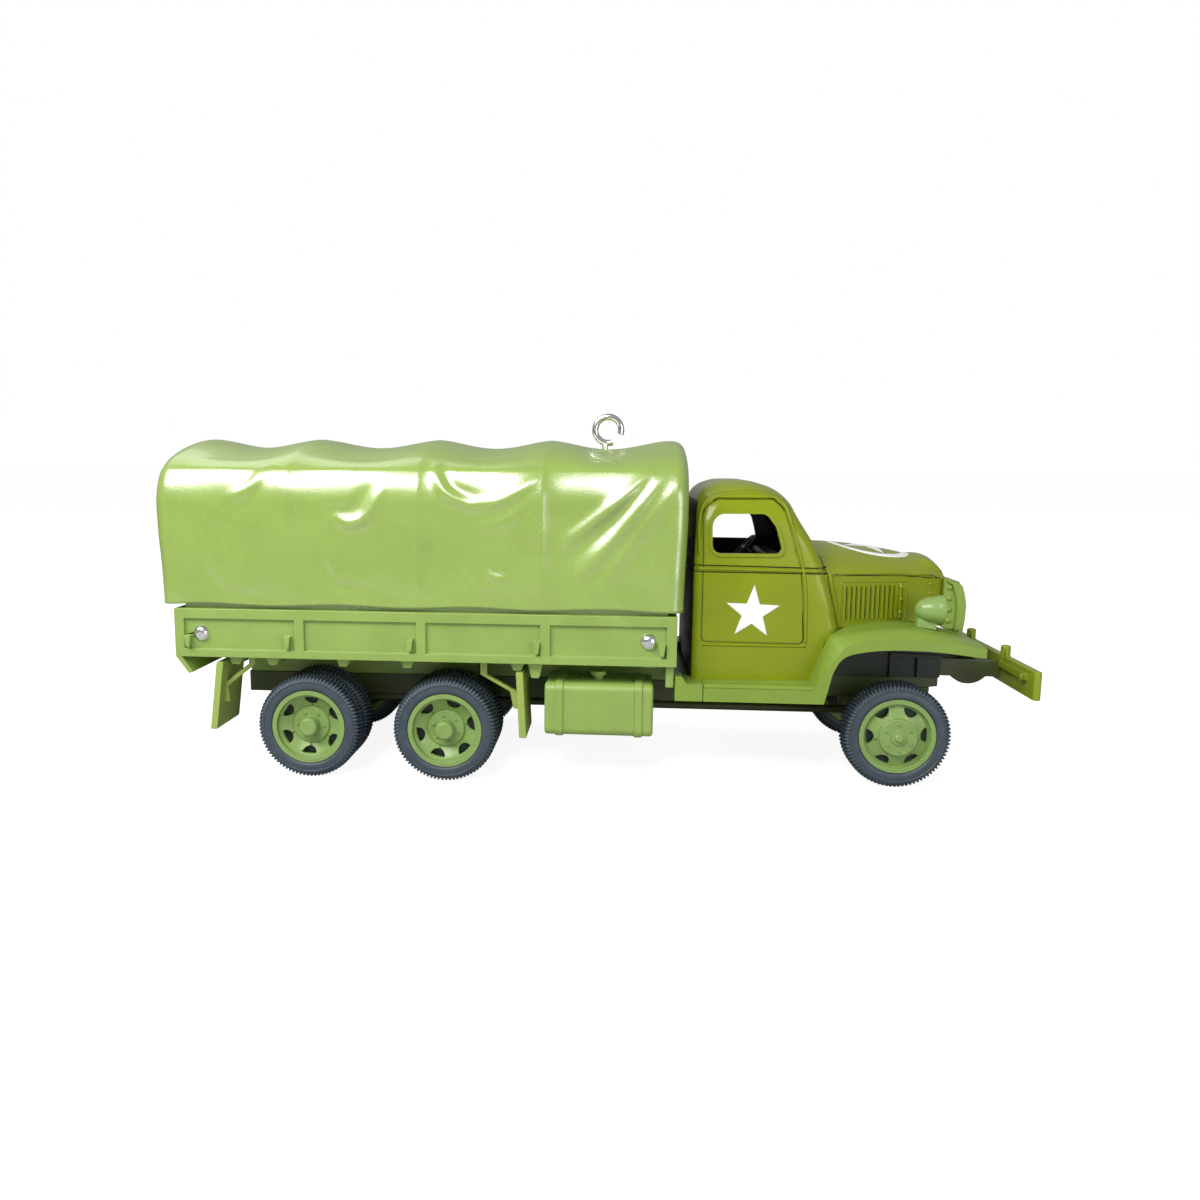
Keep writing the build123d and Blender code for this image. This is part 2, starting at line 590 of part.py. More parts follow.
def slice_outline(rear, front, half_rear, half_front, r_rear, r_front):
    """Edges of the cab's plan view: a tapered box with rounded corners."""
    corners = [(rear, -half_rear), (front, -half_front), (front, half_front), (rear, half_rear)]
    with BuildLine() as edge:
        FilletPolyline(*corners, radius=[r_rear, r_front, r_front, r_rear], close=True)
    return edge.edges()


def cab_form(inset):
    """The cab's outside, or the same form drawn in by `inset` all round."""
    bands = ((0, 3), (2, 5), (4, 9))
    with BuildPart() as form:
        for first, last in bands:
            for height, rear, front, w_rear, w_front, r_rear, r_front in CAB_SLICES[first:last]:
                top_drop = inset if last == 9 and height > 70 else 0
                with BuildSketch(Plane.XY.offset(height - top_drop)):
                    make_face(slice_outline(
                        ahead(rear) + inset, ahead(front) - inset, w_rear - inset, w_front - inset,
                        max(r_rear - inset, 0.3), max(r_front - inset, 0.3)))
            loft(ruled=True)
    return form.part


def bonnet_form(inset):
    """The bonnet's outside, or the same form drawn in by `inset`."""
    with BuildPart() as form:
        for station, half, shoulder, crown in BONNET_SLICES:
            reach = station - (inset if station == NOSE_X else 0)
            with BuildSketch(Plane.YZ.offset(ahead(reach))):
                wide = half - inset
                with BuildLine():
                    Line((-wide, BONNET_BOTTOM), (wide, BONNET_BOTTOM))
                    Line((wide, BONNET_BOTTOM), (wide, shoulder - inset))
                    ThreePointArc((wide, shoulder - inset), (0, crown - inset), (-wide, shoulder - inset))
                    Line((-wide, shoulder - inset), (-wide, BONNET_BOTTOM))
                make_face()
        loft(ruled=True)
    return form.part


def side_band(points, radii, width):
    """Band `width` wide around a rounded side-view outline, right through the cab."""
    placed = [(ahead(x), z) for x, z in points]
    with BuildLine() as edge:
        FilletPolyline(*placed, radius=list(radii), close=True)
    with BuildPart() as band:
        with BuildSketch(side_plane(CAB_HALF_WIDTH + 2)):
            make_face(edge.edges())
            offset(amount=width, mode=Mode.REPLACE)
            make_face(edge.edges(), mode=Mode.SUBTRACT)
        extrude(amount=-2 * (CAB_HALF_WIDTH + 2))
    return band.part


# Side-view outlines: distance ahead of the front axle and height, then corner radii
DOOR = ((-48.85, 36.4), (-23.95, 36.0), (-25.05, 54.2), (-29.05, 68.4), (-31.8, 71.3),
        (-45.8, 71.3), (-48.85, 68.3))
DOOR_CORNERS = (1.2, 1.2, 8.0, 3.0, 1.6, 2.0, 2.0)
WINDOW = ((-46.75, 58.2), (-29.55, 58.2), (-31.15, 64.6), (-33.6, 67.9), (-46.75, 67.9))
WINDOW_CORNERS = (2.2, 1.2, 3.0, 2.4, 3.0)
# Belt grooves across door and cowl: height at the rear corner and at the cowl
BELT_GROOVES = ((53.5, 53.1), (55.1, 54.4))
# Bonnet lid's seam: distance ahead of the front axle, height
LID_SEAM = ((-18.2, 52.4), (-8.0, 52.4), (5.0, 51.8), (12.6, 51.0))
SCREEN_INNER = 1.2         # half the windscreen's centre post
SCREEN_OUTER = 20.0
SCREEN_BOTTOM = 60.8
SCREEN_TOP = 69.4
REAR_LIGHT_HALF_WIDTH = 9.0
REAR_LIGHT_HEIGHT = 6.5
LOUVRE_START = -13.6       # ahead of the front axle
LOUVRE_END = 0.4
LOUVRE_BOTTOM = 41.4
LOUVRE_TOP = 50.2
LOUVRE_WIDTH = 0.6
LOUVRE_STAND = 0.4
GRILLE_BARS = 9
GRILLE_BAR_WIDTH = 0.8


def bonnet_half_width(x):
    """Half width of the bonnet's straight side at a distance ahead of the axle."""
    (x0, wide0), (x1, wide1) = [station[:2] for station in BONNET_SLICES[:2]]
    return wide0 + (x - x0) * (wide1 - wide0) / (x1 - x0)


cab_outer = cab_form(0)
cab_inner = cab_form(CAB_WALL)
bonnet_outer = bonnet_form(0)
bonnet_inner = bonnet_form(CAB_WALL)

with BuildPart() as cab_seams:
    add(side_band(DOOR, DOOR_CORNERS, SEAM_WIDTH))
    with BuildSketch(side_plane(CAB_HALF_WIDTH + 2)):
        for rear_height, cowl_height in BELT_GROOVES:
            Polygon([
                (CAB_REAR_X - 1, rear_height), (ahead(-18.0), cowl_height),
                (ahead(-18.0), cowl_height + SEAM_WIDTH), (CAB_REAR_X - 1, rear_height + SEAM_WIDTH),
            ])
    extrude(amount=-2 * (CAB_HALF_WIDTH + 2))
    add(cab_form(SEAM_DEPTH), mode=Mode.SUBTRACT)

with BuildPart() as lid_seams:
    with BuildSketch(side_plane(CAB_HALF_WIDTH + 2)):
        lid_edge = [(ahead(x), z) for x, z in LID_SEAM]
        Polygon(lid_edge + [(x, z + SEAM_WIDTH) for x, z in reversed(lid_edge)])
    extrude(amount=-2 * (CAB_HALF_WIDTH + 2))
    add(bonnet_form(SEAM_DEPTH), mode=Mode.SUBTRACT)
    add(cab_outer, mode=Mode.SUBTRACT)

side_slope = bonnet_half_width(1) - bonnet_half_width(0)
louvre_middle = (LOUVRE_START + LOUVRE_END) / 2
louvre_pitch = (LOUVRE_END - LOUVRE_START) / (LOUVRES - 1) * sqrt(1 + side_slope ** 2)
louvre_plane = Plane(
    origin=(ahead(louvre_middle), -bonnet_half_width(louvre_middle),
            (LOUVRE_BOTTOM + LOUVRE_TOP) / 2),
    x_dir=(1, -side_slope, 0), z_dir=(-side_slope, -1, 0),
)
with BuildPart() as louvre_bank:
    with BuildSketch(louvre_plane.offset(-CAB_WALL / 2)):
        with GridLocations(louvre_pitch, 1, LOUVRES, 1):
            SlotOverall(LOUVRE_TOP - LOUVRE_BOTTOM, LOUVRE_WIDTH, rotation=90)
    extrude(amount=CAB_WALL / 2 + LOUVRE_STAND)

with BuildPart() as window_bead:
    add(side_band(WINDOW, WINDOW_CORNERS, WINDOW_BEAD))
    add(cab_form(-BEAD_HEIGHT), mode=Mode.INTERSECT)
    add(cab_form(CAB_WALL / 2), mode=Mode.SUBTRACT)

with BuildPart() as cab_body:
    add(cab_outer)
    add(bonnet_outer)
    add(cab_inner, mode=Mode.SUBTRACT)
    add(bonnet_inner, mode=Mode.SUBTRACT)
    add(wing_envelope, mode=Mode.SUBTRACT)
    with BuildSketch(side_plane(CAB_HALF_WIDTH + 2)):
        with BuildLine():
            FilletPolyline(*[(ahead(x), z) for x, z in WINDOW], radius=list(WINDOW_CORNERS),
                           close=True)
        make_face()
    extrude(amount=-2 * (CAB_HALF_WIDTH + 2), mode=Mode.SUBTRACT)
    with BuildSketch(Plane.YZ.offset(ahead(-18.0))):
        for side in (-1, 1):
            with Locations((side * (SCREEN_INNER + SCREEN_OUTER) / 2,
                            (SCREEN_BOTTOM + SCREEN_TOP) / 2)):
                RectangleRounded(SCREEN_OUTER - SCREEN_INNER, SCREEN_TOP - SCREEN_BOTTOM, 1.5)
    extrude(amount=-12.5, mode=Mode.SUBTRACT)
    with BuildSketch(Plane.YZ.offset(CAB_REAR_X - 1)):
        with Locations((0, (SCREEN_BOTTOM + SCREEN_TOP) / 2 - 1.5)):
            RectangleRounded(2 * REAR_LIGHT_HALF_WIDTH, REAR_LIGHT_HEIGHT, 1.5)
    extrude(amount=CAB_WALL + 2.5, mode=Mode.SUBTRACT)
    add(cab_seams.part, mode=Mode.SUBTRACT)
    add(lid_seams.part, mode=Mode.SUBTRACT)
    add(window_bead.part)
    add(louvre_bank.part)
    mirror(louvre_bank.part, about=Plane.XZ)
    with BuildSketch(Plane.YZ.offset(NOSE_FRONT_X - 0.2)):
        with GridLocations(2 * BONNET_SLICES[-1][1] / (GRILLE_BARS + 1), 1, GRILLE_BARS, 1):
            with Locations((0, 45.2)):
                Rectangle(GRILLE_BAR_WIDTH, 10.0)
    extrude(amount=0.7)
export(cab_body.part, "cab_and_bonnet")

# Seat, floor, bulkhead and dash as one black moulding
SEAT_HALF_WIDTH = 22.0
PAN_TOP = RAIL_TOP + 1.5
DASH_REAR_X = ahead(-31.5)
BULKHEAD_X = ahead(-27.0)
with BuildPart() as cab_interior:
    with BuildSketch(side_plane(SEAT_HALF_WIDTH)):
        Polygon(
            (ahead(-48.6), PAN_TOP), (BULKHEAD_X, PAN_TOP), (BULKHEAD_X, 56.5),
            (DASH_REAR_X + 0.8, 56.5), (DASH_REAR_X, 55.5), (DASH_REAR_X, 50.0),
            (BULKHEAD_X - 1.5, 48.0), (BULKHEAD_X - 1.5, PAN_TOP + 1.5),
            (ahead(-36.0), PAN_TOP + 1.5), (ahead(-36.0), 38.0), (ahead(-37.2), 39.2),
            (ahead(-45.0), 38.2), (ahead(-46.2), 54.0), (ahead(-48.6), 54.0),
        )
    extrude(amount=-2 * SEAT_HALF_WIDTH)
export(cab_interior.part, "cab_interior")

STEERING_Y = 12.0
STEERING_RADIUS = 4.0
STEERING_RIM = 0.5
STEERING_CENTRE = (ahead(-34.6), STEERING_Y, 56.6)
COLUMN_RADIUS = 0.6
COLUMN_TILT = 40           # degrees of the column above level
column_way = (cos(radians(COLUMN_TILT)), 0, -sin(radians(COLUMN_TILT)))
steering_plane = Plane(origin=STEERING_CENTRE, x_dir=(0, 1, 0), z_dir=column_way)
with BuildPart() as steering_wheel:
    with BuildSketch(Plane(origin=STEERING_CENTRE, x_dir=(0, 1, 0),
                           z_dir=(-column_way[2], 0, column_way[0]))):
        with Locations((STEERING_RADIUS, 0)):
            Circle(STEERING_RIM)
    revolve(axis=Axis(STEERING_CENTRE, column_way))
    with BuildSketch(steering_plane.offset(-0.3)):
        Rectangle(2 * STEERING_RADIUS, 0.7)
        Rectangle(0.7, 2 * STEERING_RADIUS)
        Circle(0.9)
    extrude(amount=0.6)
    with BuildSketch(steering_plane):
        Circle(COLUMN_RADIUS)
    extrude(amount=(DASH_REAR_X - STEERING_CENTRE[0] - 0.6) / column_way[0] - COLUMN_RADIUS)
export(steering_wheel.part, "steering_wheel")

# ------------------------------------------------------------ lamps and guard
LAMP_HEIGHT = 44.7
LAMP_OFFSET = 24.0
# Lamp outline from tip to lens: distance ahead of the front axle, radius
LAMP_OUTLINE = ((3.4, 0), (3.6, 1.1), (4.6, 2.3), (6.4, 3.1), (8.7, 3.45), (9.2, 3.65),
                (10.0, 3.65), (10.2, 3.2), (10.7, 1.9), (10.9, 0))
for side, side_name in ((-1, "right"), (1, "left")):
    lamp_centre = (0, side * LAMP_OFFSET, LAMP_HEIGHT)
    with BuildPart() as headlamp:
        with BuildSketch(Plane(origin=lamp_centre, x_dir=(1, 0, 0), z_dir=(0, -1, 0))):
            Polygon([(ahead(x), radius) for x, radius in LAMP_OUTLINE])
        revolve(axis=Axis(lamp_centre, (1, 0, 0)))
        with BuildSketch(Plane.XY.offset(39.9)):
            with Locations((ahead(6.2), side * LAMP_OFFSET)):
                Rectangle(4.6, 2.2)
        extrude(amount=LAMP_HEIGHT - 2.0 - 39.9)
        add(wing_envelope, mode=Mode.SUBTRACT)
    export(headlamp.part, f"headlamp_{side_name}")

GUARD_HALF_WIDTH = 14.0
GUARD_BARS = 9
GUARD_BAR = 1.0
GUARD_FRONT = ((14.1, 51.5), (17.2, 50.3), (19.1, 44.5), (18.6, 37.7))
guard_line = [(ahead(x), z) for x, z in GUARD_FRONT]
guard_back = [(x - 1.1, z - 0.9) for x, z in reversed(GUARD_FRONT[1:3])]
with BuildPart() as brush_guard:
    for bar in range(GUARD_BARS):
        bar_y = -GUARD_HALF_WIDTH + bar * (2 * GUARD_HALF_WIDTH - GUARD_BAR) / (GUARD_BARS - 1)
        with BuildSketch(side_plane(-bar_y)):
            Polygon(guard_line + [(ahead(17.4), 37.7)] + [(ahead(x), z) for x, z in guard_back]
                    + [(ahead(14.1), 50.4)])
        extrude(amount=-GUARD_BAR)
    for bar_x, bar_z in ((17.5, 37.7), (17.6, 44.0), (16.0, 49.4)):
        with BuildSketch(side_plane(GUARD_HALF_WIDTH)):
            Polygon([(ahead(bar_x), bar_z), (ahead(bar_x + 1.0), bar_z),
                     (ahead(bar_x + 1.0), bar_z + 1.0), (ahead(bar_x), bar_z + 1.0)])
        extrude(amount=-2 * GUARD_HALF_WIDTH)
export(brush_guard.part, "brush_guard")

# ------------------------------------------------------------ fuel tanks
TANK_FRONT_X = ahead(-TANK_FRONT)
TANK_REAR_X = TANK_FRONT_X - TANK_LENGTH
for side, side_name in ((-1, "right"), (1, "left")):
    tank_middle = side * (TANK_INNER + TANK_OUTER) / 2
    with BuildPart() as fuel_tank:
        with BuildSketch(Plane.YZ.offset(TANK_REAR_X)):
            with Locations((tank_middle, (TANK_BOTTOM + TANK_TOP) / 2)):
                RectangleRounded(TANK_OUTER - TANK_INNER, TANK_TOP - TANK_BOTTOM, 2.0)
        extrude(amount=TANK_LENGTH)
        fillet(fuel_tank.faces().filter_by(Axis.X).edges(), radius=0.8)
        for strap_x in (TANK_REAR_X + STRAP_INSET, TANK_FRONT_X - STRAP_INSET):
            with BuildSketch(Plane.YZ.offset(strap_x - STRAP_WIDTH / 2)):
                with Locations((tank_middle, (TANK_BOTTOM + TANK_TOP) / 2)):
                    RectangleRounded(TANK_OUTER - TANK_INNER + 2 * STRAP_HEIGHT,
                                     TANK_TOP - TANK_BOTTOM + 2 * STRAP_HEIGHT,
                                     2.0 + STRAP_HEIGHT)
            extrude(amount=STRAP_WIDTH)
            with BuildSketch(Plane.XY.offset(18.6)):
                with Locations((strap_x, side * (RAIL_OUTER + TANK_INNER + 1) / 2)):
                    Rectangle(STRAP_WIDTH, TANK_INNER + 1 - RAIL_OUTER)
            extrude(amount=3.2)
        with BuildSketch(Plane.XY.offset(TANK_TOP - 0.5)):
            with Locations((TANK_REAR_X + 13.1, side * 27.0)):
                Circle(1.3)
        extrude(amount=1.4)
        with BuildSketch(Plane.XY.offset(TANK_TOP + 0.9)):
            with Locations((TANK_REAR_X + 13.1, side * 27.0)):
                Circle(2.05)
        extrude(amount=1.2)
    export(fuel_tank.part, f"fuel_tank_{side_name}")

# ------------------------------------------------------------ cargo body
BODY_INNER_HALF = BODY_HALF_WIDTH - BODY_WALL
# Cross sills: distance from the middle of the rear pair, underside height
CROSS_SILLS = ((-36.25, 28.8), (-26.65, 28.8), (-8.45, 28.8), (7.95, 28.8), (35.75, 28.8),
               (40.25, 27.0), (68.55, 30.3))
HOOK_PLACES = (-47.55, -21.95, 9.15, 40.75, 71.35)
SCREW_PLACES = (-44.4, 68.15)
bay_pitch = (BODY_LENGTH - POST_WIDTH) / BAYS
panel_bottom = BODY_BOTTOM + BOTTOM_RAIL_HEIGHT
panel_top = BODY_TOP - TOP_RAIL_HEIGHT
end_bay = 2 * BODY_HALF_WIDTH - 2 * POST_WIDTH
cross = BODY_HALF_WIDTH - 2.0

with BuildPart() as cargo_body:
    with BuildSketch(Plane.XY.offset(BODY_BOTTOM)):
        with Locations(((BODY_REAR_X + BODY_FRONT_X) / 2, 0)):
            Rectangle(BODY_LENGTH, 2 * BODY_HALF_WIDTH)
    extrude(amount=BODY_TOP - BODY_BOTTOM)
    with BuildSketch(Plane.XY.offset(BODY_FLOOR)):
        with Locations(((BODY_REAR_X + BODY_FRONT_X) / 2, 0)):
            Rectangle(BODY_LENGTH - 2 * BODY_WALL, 2 * BODY_INNER_HALF)
    extrude(amount=BODY_TOP - BODY_FLOOR, mode=Mode.SUBTRACT)
    for side in (-1, 1):
        with BuildSketch(side_plane(side * BODY_HALF_WIDTH)):
            for bay in range(BAYS):
                with Locations((BODY_REAR_X + POST_WIDTH / 2 + (bay + 0.5) * bay_pitch,
                                (panel_bottom + panel_top) / 2)):
                    Rectangle(bay_pitch - POST_WIDTH, panel_top - panel_bottom)
        extrude(amount=-side * PANEL_RECESS, mode=Mode.SUBTRACT)
    for end_x, way in ((BODY_REAR_X, 1), (BODY_FRONT_X, -1)):
        with BuildSketch(Plane.YZ.offset(end_x)):
            with Locations((0, (panel_bottom + panel_top) / 2)):
                Rectangle(end_bay, panel_top - panel_bottom)
        extrude(amount=way * PANEL_RECESS, mode=Mode.SUBTRACT)
    for sill, underside in CROSS_SILLS:
        with BuildSketch(side_plane(cross)):
            Polygon([(BOGIE_X + sill - 1.85, BODY_BOTTOM), (BOGIE_X + sill - 1.0, underside),
                     (BOGIE_X + sill + 1.0, underside), (BOGIE_X + sill + 1.85, BODY_BOTTOM)])
        extrude(amount=-2 * cross)
    for side in (-1, 1):
        with BuildSketch(Plane.XY.offset(RAIL_TOP)):
            with Locations(((RAIL_REAR_X + BODY_FRONT_X) / 2, side * (SILL_HALF_WIDTH + 1.5))):
                Rectangle(BODY_FRONT_X - RAIL_REAR_X - 1.0, SILL_WIDTH)
        extrude(amount=BODY_BOTTOM - RAIL_TOP)
        with BuildSketch(Plane.XY.offset(25.5)):
            with Locations((BODY_FRONT_X - 1.5, side * (BODY_HALF_WIDTH - 2.6))):
                Rectangle(2.0, 1.6)
        extrude(amount=BODY_BOTTOM - 25.5)
        for hook in HOOK_PLACES:
            with BuildSketch(side_plane(side * (BODY_HALF_WIDTH - PANEL_RECESS))):
                Polygon([(BOGIE_X + hook - 0.9, 36.6), (BOGIE_X + hook + 0.9, 36.6),
                         (BOGIE_X + hook + 0.5, 33.6), (BOGIE_X + hook - 0.5, 33.6)])
            extrude(amount=side * (PANEL_RECESS + 0.9))
    with BuildSketch(side_plane(BODY_HALF_WIDTH)):
        Polygon([(BODY_REAR_X, BODY_BOTTOM), (BODY_REAR_X + 1.5, BODY_BOTTOM),
                 (BODY_REAR_X + 4.4, 27.0), (BODY_REAR_X + 3.2, 26.6)])
    extrude(amount=-2 * BODY_HALF_WIDTH)
    for side in (-1, 1):
        with BuildSketch(side_plane(side * BODY_HALF_WIDTH)):
            for screw in SCREW_PLACES:
                with Locations((BOGIE_X + screw, SCREW_HEIGHT)):
                    Circle(SCREW_RADIUS)
        extrude(amount=-side * BODY_WALL, mode=Mode.SUBTRACT)
export(cargo_body.part, "cargo_body")

# ------------------------------------------------------------ moulded canvas cover
# Stations along the cover: X from its rear face, height lost at the crown, draw-in
COVER_STATIONS = (
    (0.0, 4.2, 4.4), (1.3, 2.0, 1.9), (3.55, 0.0, 0.3), (18.75, BAY_SAG, 0.7),
    (34.65, 0.0, 0.0), (51.15, BAY_SAG, 0.6), (67.4, 0.0, 0.0), (81.05, BAY_SAG, 0.5),
    (99.2, 0.0, 0.0), (112.15, BAY_SAG, 0.5), (128.85, 0.0, 0.0), (132.0, 0.9, 0.5),
    (133.75, 3.0, 2.2),
)
SHOULDER_MIDDLE = (31.4, 78.4)
SHOULDER_END = (25.5, 81.6)


def cover_outline(lost, drawn, inset, base):
    """Edges of the cover's cross-section, `lost` lower and `drawn` narrower."""
    foot = HEM_HALF_WIDTH - 0.5 - drawn - inset
    side_y = SHOULDER_HALF_WIDTH - drawn - inset
    side_z = SHOULDER_HEIGHT - lost / 2
    mid = (SHOULDER_MIDDLE[0] - drawn - 0.7 * inset, SHOULDER_MIDDLE[1] - lost / 2 - 0.7 * inset)
    top = (SHOULDER_END[0] - drawn - 0.3 * inset, SHOULDER_END[1] - 0.8 * lost - inset)
    crown = CROWN_HEIGHT - lost - inset
    with BuildLine() as edge:
        Polyline((-side_y, side_z), (-foot, base), (foot, base), (side_y, side_z))
        ThreePointArc((side_y, side_z), mid, top)
        ThreePointArc(top, (0, crown), (-top[0], top[1]))
        ThreePointArc((-top[0], top[1]), (-mid[0], mid[1]), (-side_y, side_z))
    return edge.edges()


def cover_form(inset, base):
    """The cover's outside, or the same form drawn in by `inset`."""
    with BuildPart() as form:
        for station, lost, drawn in COVER_STATIONS:
            reach = min(max(station, inset), COVER_STATIONS[-1][0] - inset)
            with BuildSketch(Plane.YZ.offset(COVER_REAR_X + reach)):
                make_face(cover_outline(lost, drawn, inset, base))
        loft(ruled=True)
    return form.part


plug_rear = BODY_REAR_X + BODY_WALL + CLEARANCE
plug_front = BODY_FRONT_X - BODY_WALL - CLEARANCE
plug_half = BODY_INNER_HALF - CLEARANCE
TAB_HALF = 2.4
TAB_BOTTOM = 34.2
TAB_THICKNESS = 1.4
FLANGE_BOTTOM = HEM_HEIGHT + 0.4
FLANGE_TOP = FLANGE_BOTTOM + 1.4
cover_outer = cover_form(0, HEM_HEIGHT)
cover_inner = cover_form(COVER_WALL, HEM_HEIGHT - 1)
with BuildPart() as canvas_cover:
    add(cover_outer)
    add(cover_inner, mode=Mode.SUBTRACT)
    with BuildSketch(Plane.XY.offset(FLANGE_BOTTOM)):
        with Locations(((plug_rear + plug_front) / 2, 0)):
            Rectangle(plug_front - plug_rear + 3.0, 2 * plug_half + 1.6)
            Rectangle(plug_front - plug_rear - 2 * PLUG_WALL, 2 * plug_half - 2 * PLUG_WALL,
                      mode=Mode.SUBTRACT)
    extrude(amount=FLANGE_TOP - FLANGE_BOTTOM)
    with BuildSketch(Plane.XY.offset(BODY_TOP - PLUG_DEPTH)):
        with Locations(((plug_rear + plug_front) / 2, 0)):
            Rectangle(plug_front - plug_rear, 2 * plug_half)
            Rectangle(plug_front - plug_rear - 2 * PLUG_WALL, 2 * plug_half - 2 * PLUG_WALL,
                      mode=Mode.SUBTRACT)
    extrude(amount=FLANGE_BOTTOM - BODY_TOP + PLUG_DEPTH)
    for side in (-1, 1):
        with BuildSketch(side_plane(side * plug_half)):
            for screw in SCREW_PLACES:
                with Locations((BOGIE_X + screw, (TAB_BOTTOM + FLANGE_BOTTOM) / 2)):
                    Rectangle(2 * TAB_HALF, FLANGE_BOTTOM - TAB_BOTTOM)
                with Locations((BOGIE_X + screw, SCREW_HEIGHT)):
                    Circle(SCREW_RADIUS, mode=Mode.SUBTRACT)
        extrude(amount=-side * TAB_THICKNESS)
    eye_x = BOGIE_X + EYE_AHEAD
    shank_x = eye_x - EYE_SHANK_BACK
    pad_top = CROWN_HEIGHT - 2.1
    with BuildSketch(Plane.XY.offset(pad_top - 3.2)):
        with Locations((shank_x, 0)):
            Circle(EYE_PAD_RADIUS)
    extrude(amount=3.2)
    with BuildSketch(Plane.XY.offset(pad_top)):
        with Locations((shank_x, 0)):
            Circle(EYE_SHANK_RADIUS)
    extrude(amount=-4.0, mode=Mode.SUBTRACT)
export(canvas_cover.part, "canvas_cover")

# ------------------------------------------------------------ hanging eye and screws
RING_GAP_END = -20         # degrees up from ahead, where the open ring starts
RING_TURN = 310
ring_centre = (eye_x, 0, EYE_CENTRE_HEIGHT)
ring_start = (cos(radians(RING_GAP_END)), 0, sin(radians(RING_GAP_END)))
with BuildPart() as eye_screw:
    with BuildSketch(Plane(origin=ring_centre, x_dir=ring_start,
                           z_dir=(-ring_start[2], 0, ring_start[0]))):
        with Locations((EYE_RING_RADIUS, 0)):
            Circle(EYE_WIRE_RADIUS)
    revolve(axis=Axis(ring_centre, (0, -1, 0)), revolution_arc=RING_TURN)
    with BuildSketch(Plane.XY.offset(pad_top - 4.0)):
        with Locations((shank_x, 0)):
            Circle(EYE_SHANK_RADIUS)
    extrude(amount=EYE_CENTRE_HEIGHT - EYE_RING_RADIUS - pad_top + 4.0)
export(eye_screw.part, "eye_screw")

with BuildPart() as body_screws:
    for side in (-1, 1):
        head_y = BODY_HALF_WIDTH - PANEL_RECESS
        for screw in SCREW_PLACES:
            head = (BOGIE_X + screw, side * head_y, SCREW_HEIGHT)
            with BuildSketch(Plane(origin=head, x_dir=(1, 0, 0), z_dir=(0, 0, 1))):
                with BuildLine():
                    ThreePointArc((0, side * SCREW_HEAD_HEIGHT),
                                  (SCREW_HEAD_RADIUS * 0.75, side * SCREW_HEAD_HEIGHT * 0.66),
                                  (SCREW_HEAD_RADIUS, 0))
                    Polyline((SCREW_HEAD_RADIUS, 0), (SCREW_RADIUS, 0),
                             (SCREW_RADIUS, -side * (head_y - plug_half + TAB_THICKNESS)),
                             (0, -side * (head_y - plug_half + TAB_THICKNESS)),
                             (0, side * SCREW_HEAD_HEIGHT))
                make_face()
            revolve(axis=Axis(head, (0, 1, 0)))
export(body_screws.part, "body_screws")

# ------------------------------------------------------------ mudflaps
# name, top rear X, bottom rear X (from the middle of the rear pair), bottom and top
# heights, then the arm's middle line from the body down to the flap
MUDFLAPS = (
    ("rear", -40.75, -42.95, 12.1, 29.6,
     ((-32.85, BODY_BOTTOM), (-32.85, 28.6), (-40.25, 22.7), (-39.85, 18.4))),
    ("front", 35.55, 36.45, 12.05, 28.6,
     ((27.0, BODY_BOTTOM), (27.0, 27.2), (34.55, 23.0), (35.45, 18.6))),
)
ARM_DEPTH = 1.7
for end_name, top_x, bottom_x, bottom_z, top_z, arm in MUDFLAPS:
    for side, side_name in ((-1, "right"), (1, "left")):
        with BuildPart() as mudflap:
            with BuildSketch(side_plane(-side * FLAP_OUTER)):
                Polygon([(BOGIE_X + bottom_x, bottom_z),
                         (BOGIE_X + bottom_x + FLAP_THICKNESS, bottom_z),
                         (BOGIE_X + top_x + FLAP_THICKNESS, top_z), (BOGIE_X + top_x, top_z)])
            extrude(amount=side * (FLAP_OUTER - FLAP_INNER))
            with BuildSketch(side_plane(-side * 30.85)):
                rear_edge = [(BOGIE_X + x - ARM_DEPTH / 2, z) for x, z in arm]
                Polygon(rear_edge + [(x + ARM_DEPTH, z) for x, z in reversed(rear_edge)])
            extrude(amount=side * ARM_WIDTH)
        export(mudflap.part, f"mudflap_{end_name}_{side_name}")
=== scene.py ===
"""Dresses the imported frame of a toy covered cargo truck. All lengths are in metres."""

from __future__ import annotations

import json
import logging
import math
from dataclasses import dataclass
from enum import Enum

import bmesh
import bpy
import numpy as np
from mathutils import Matrix, Vector

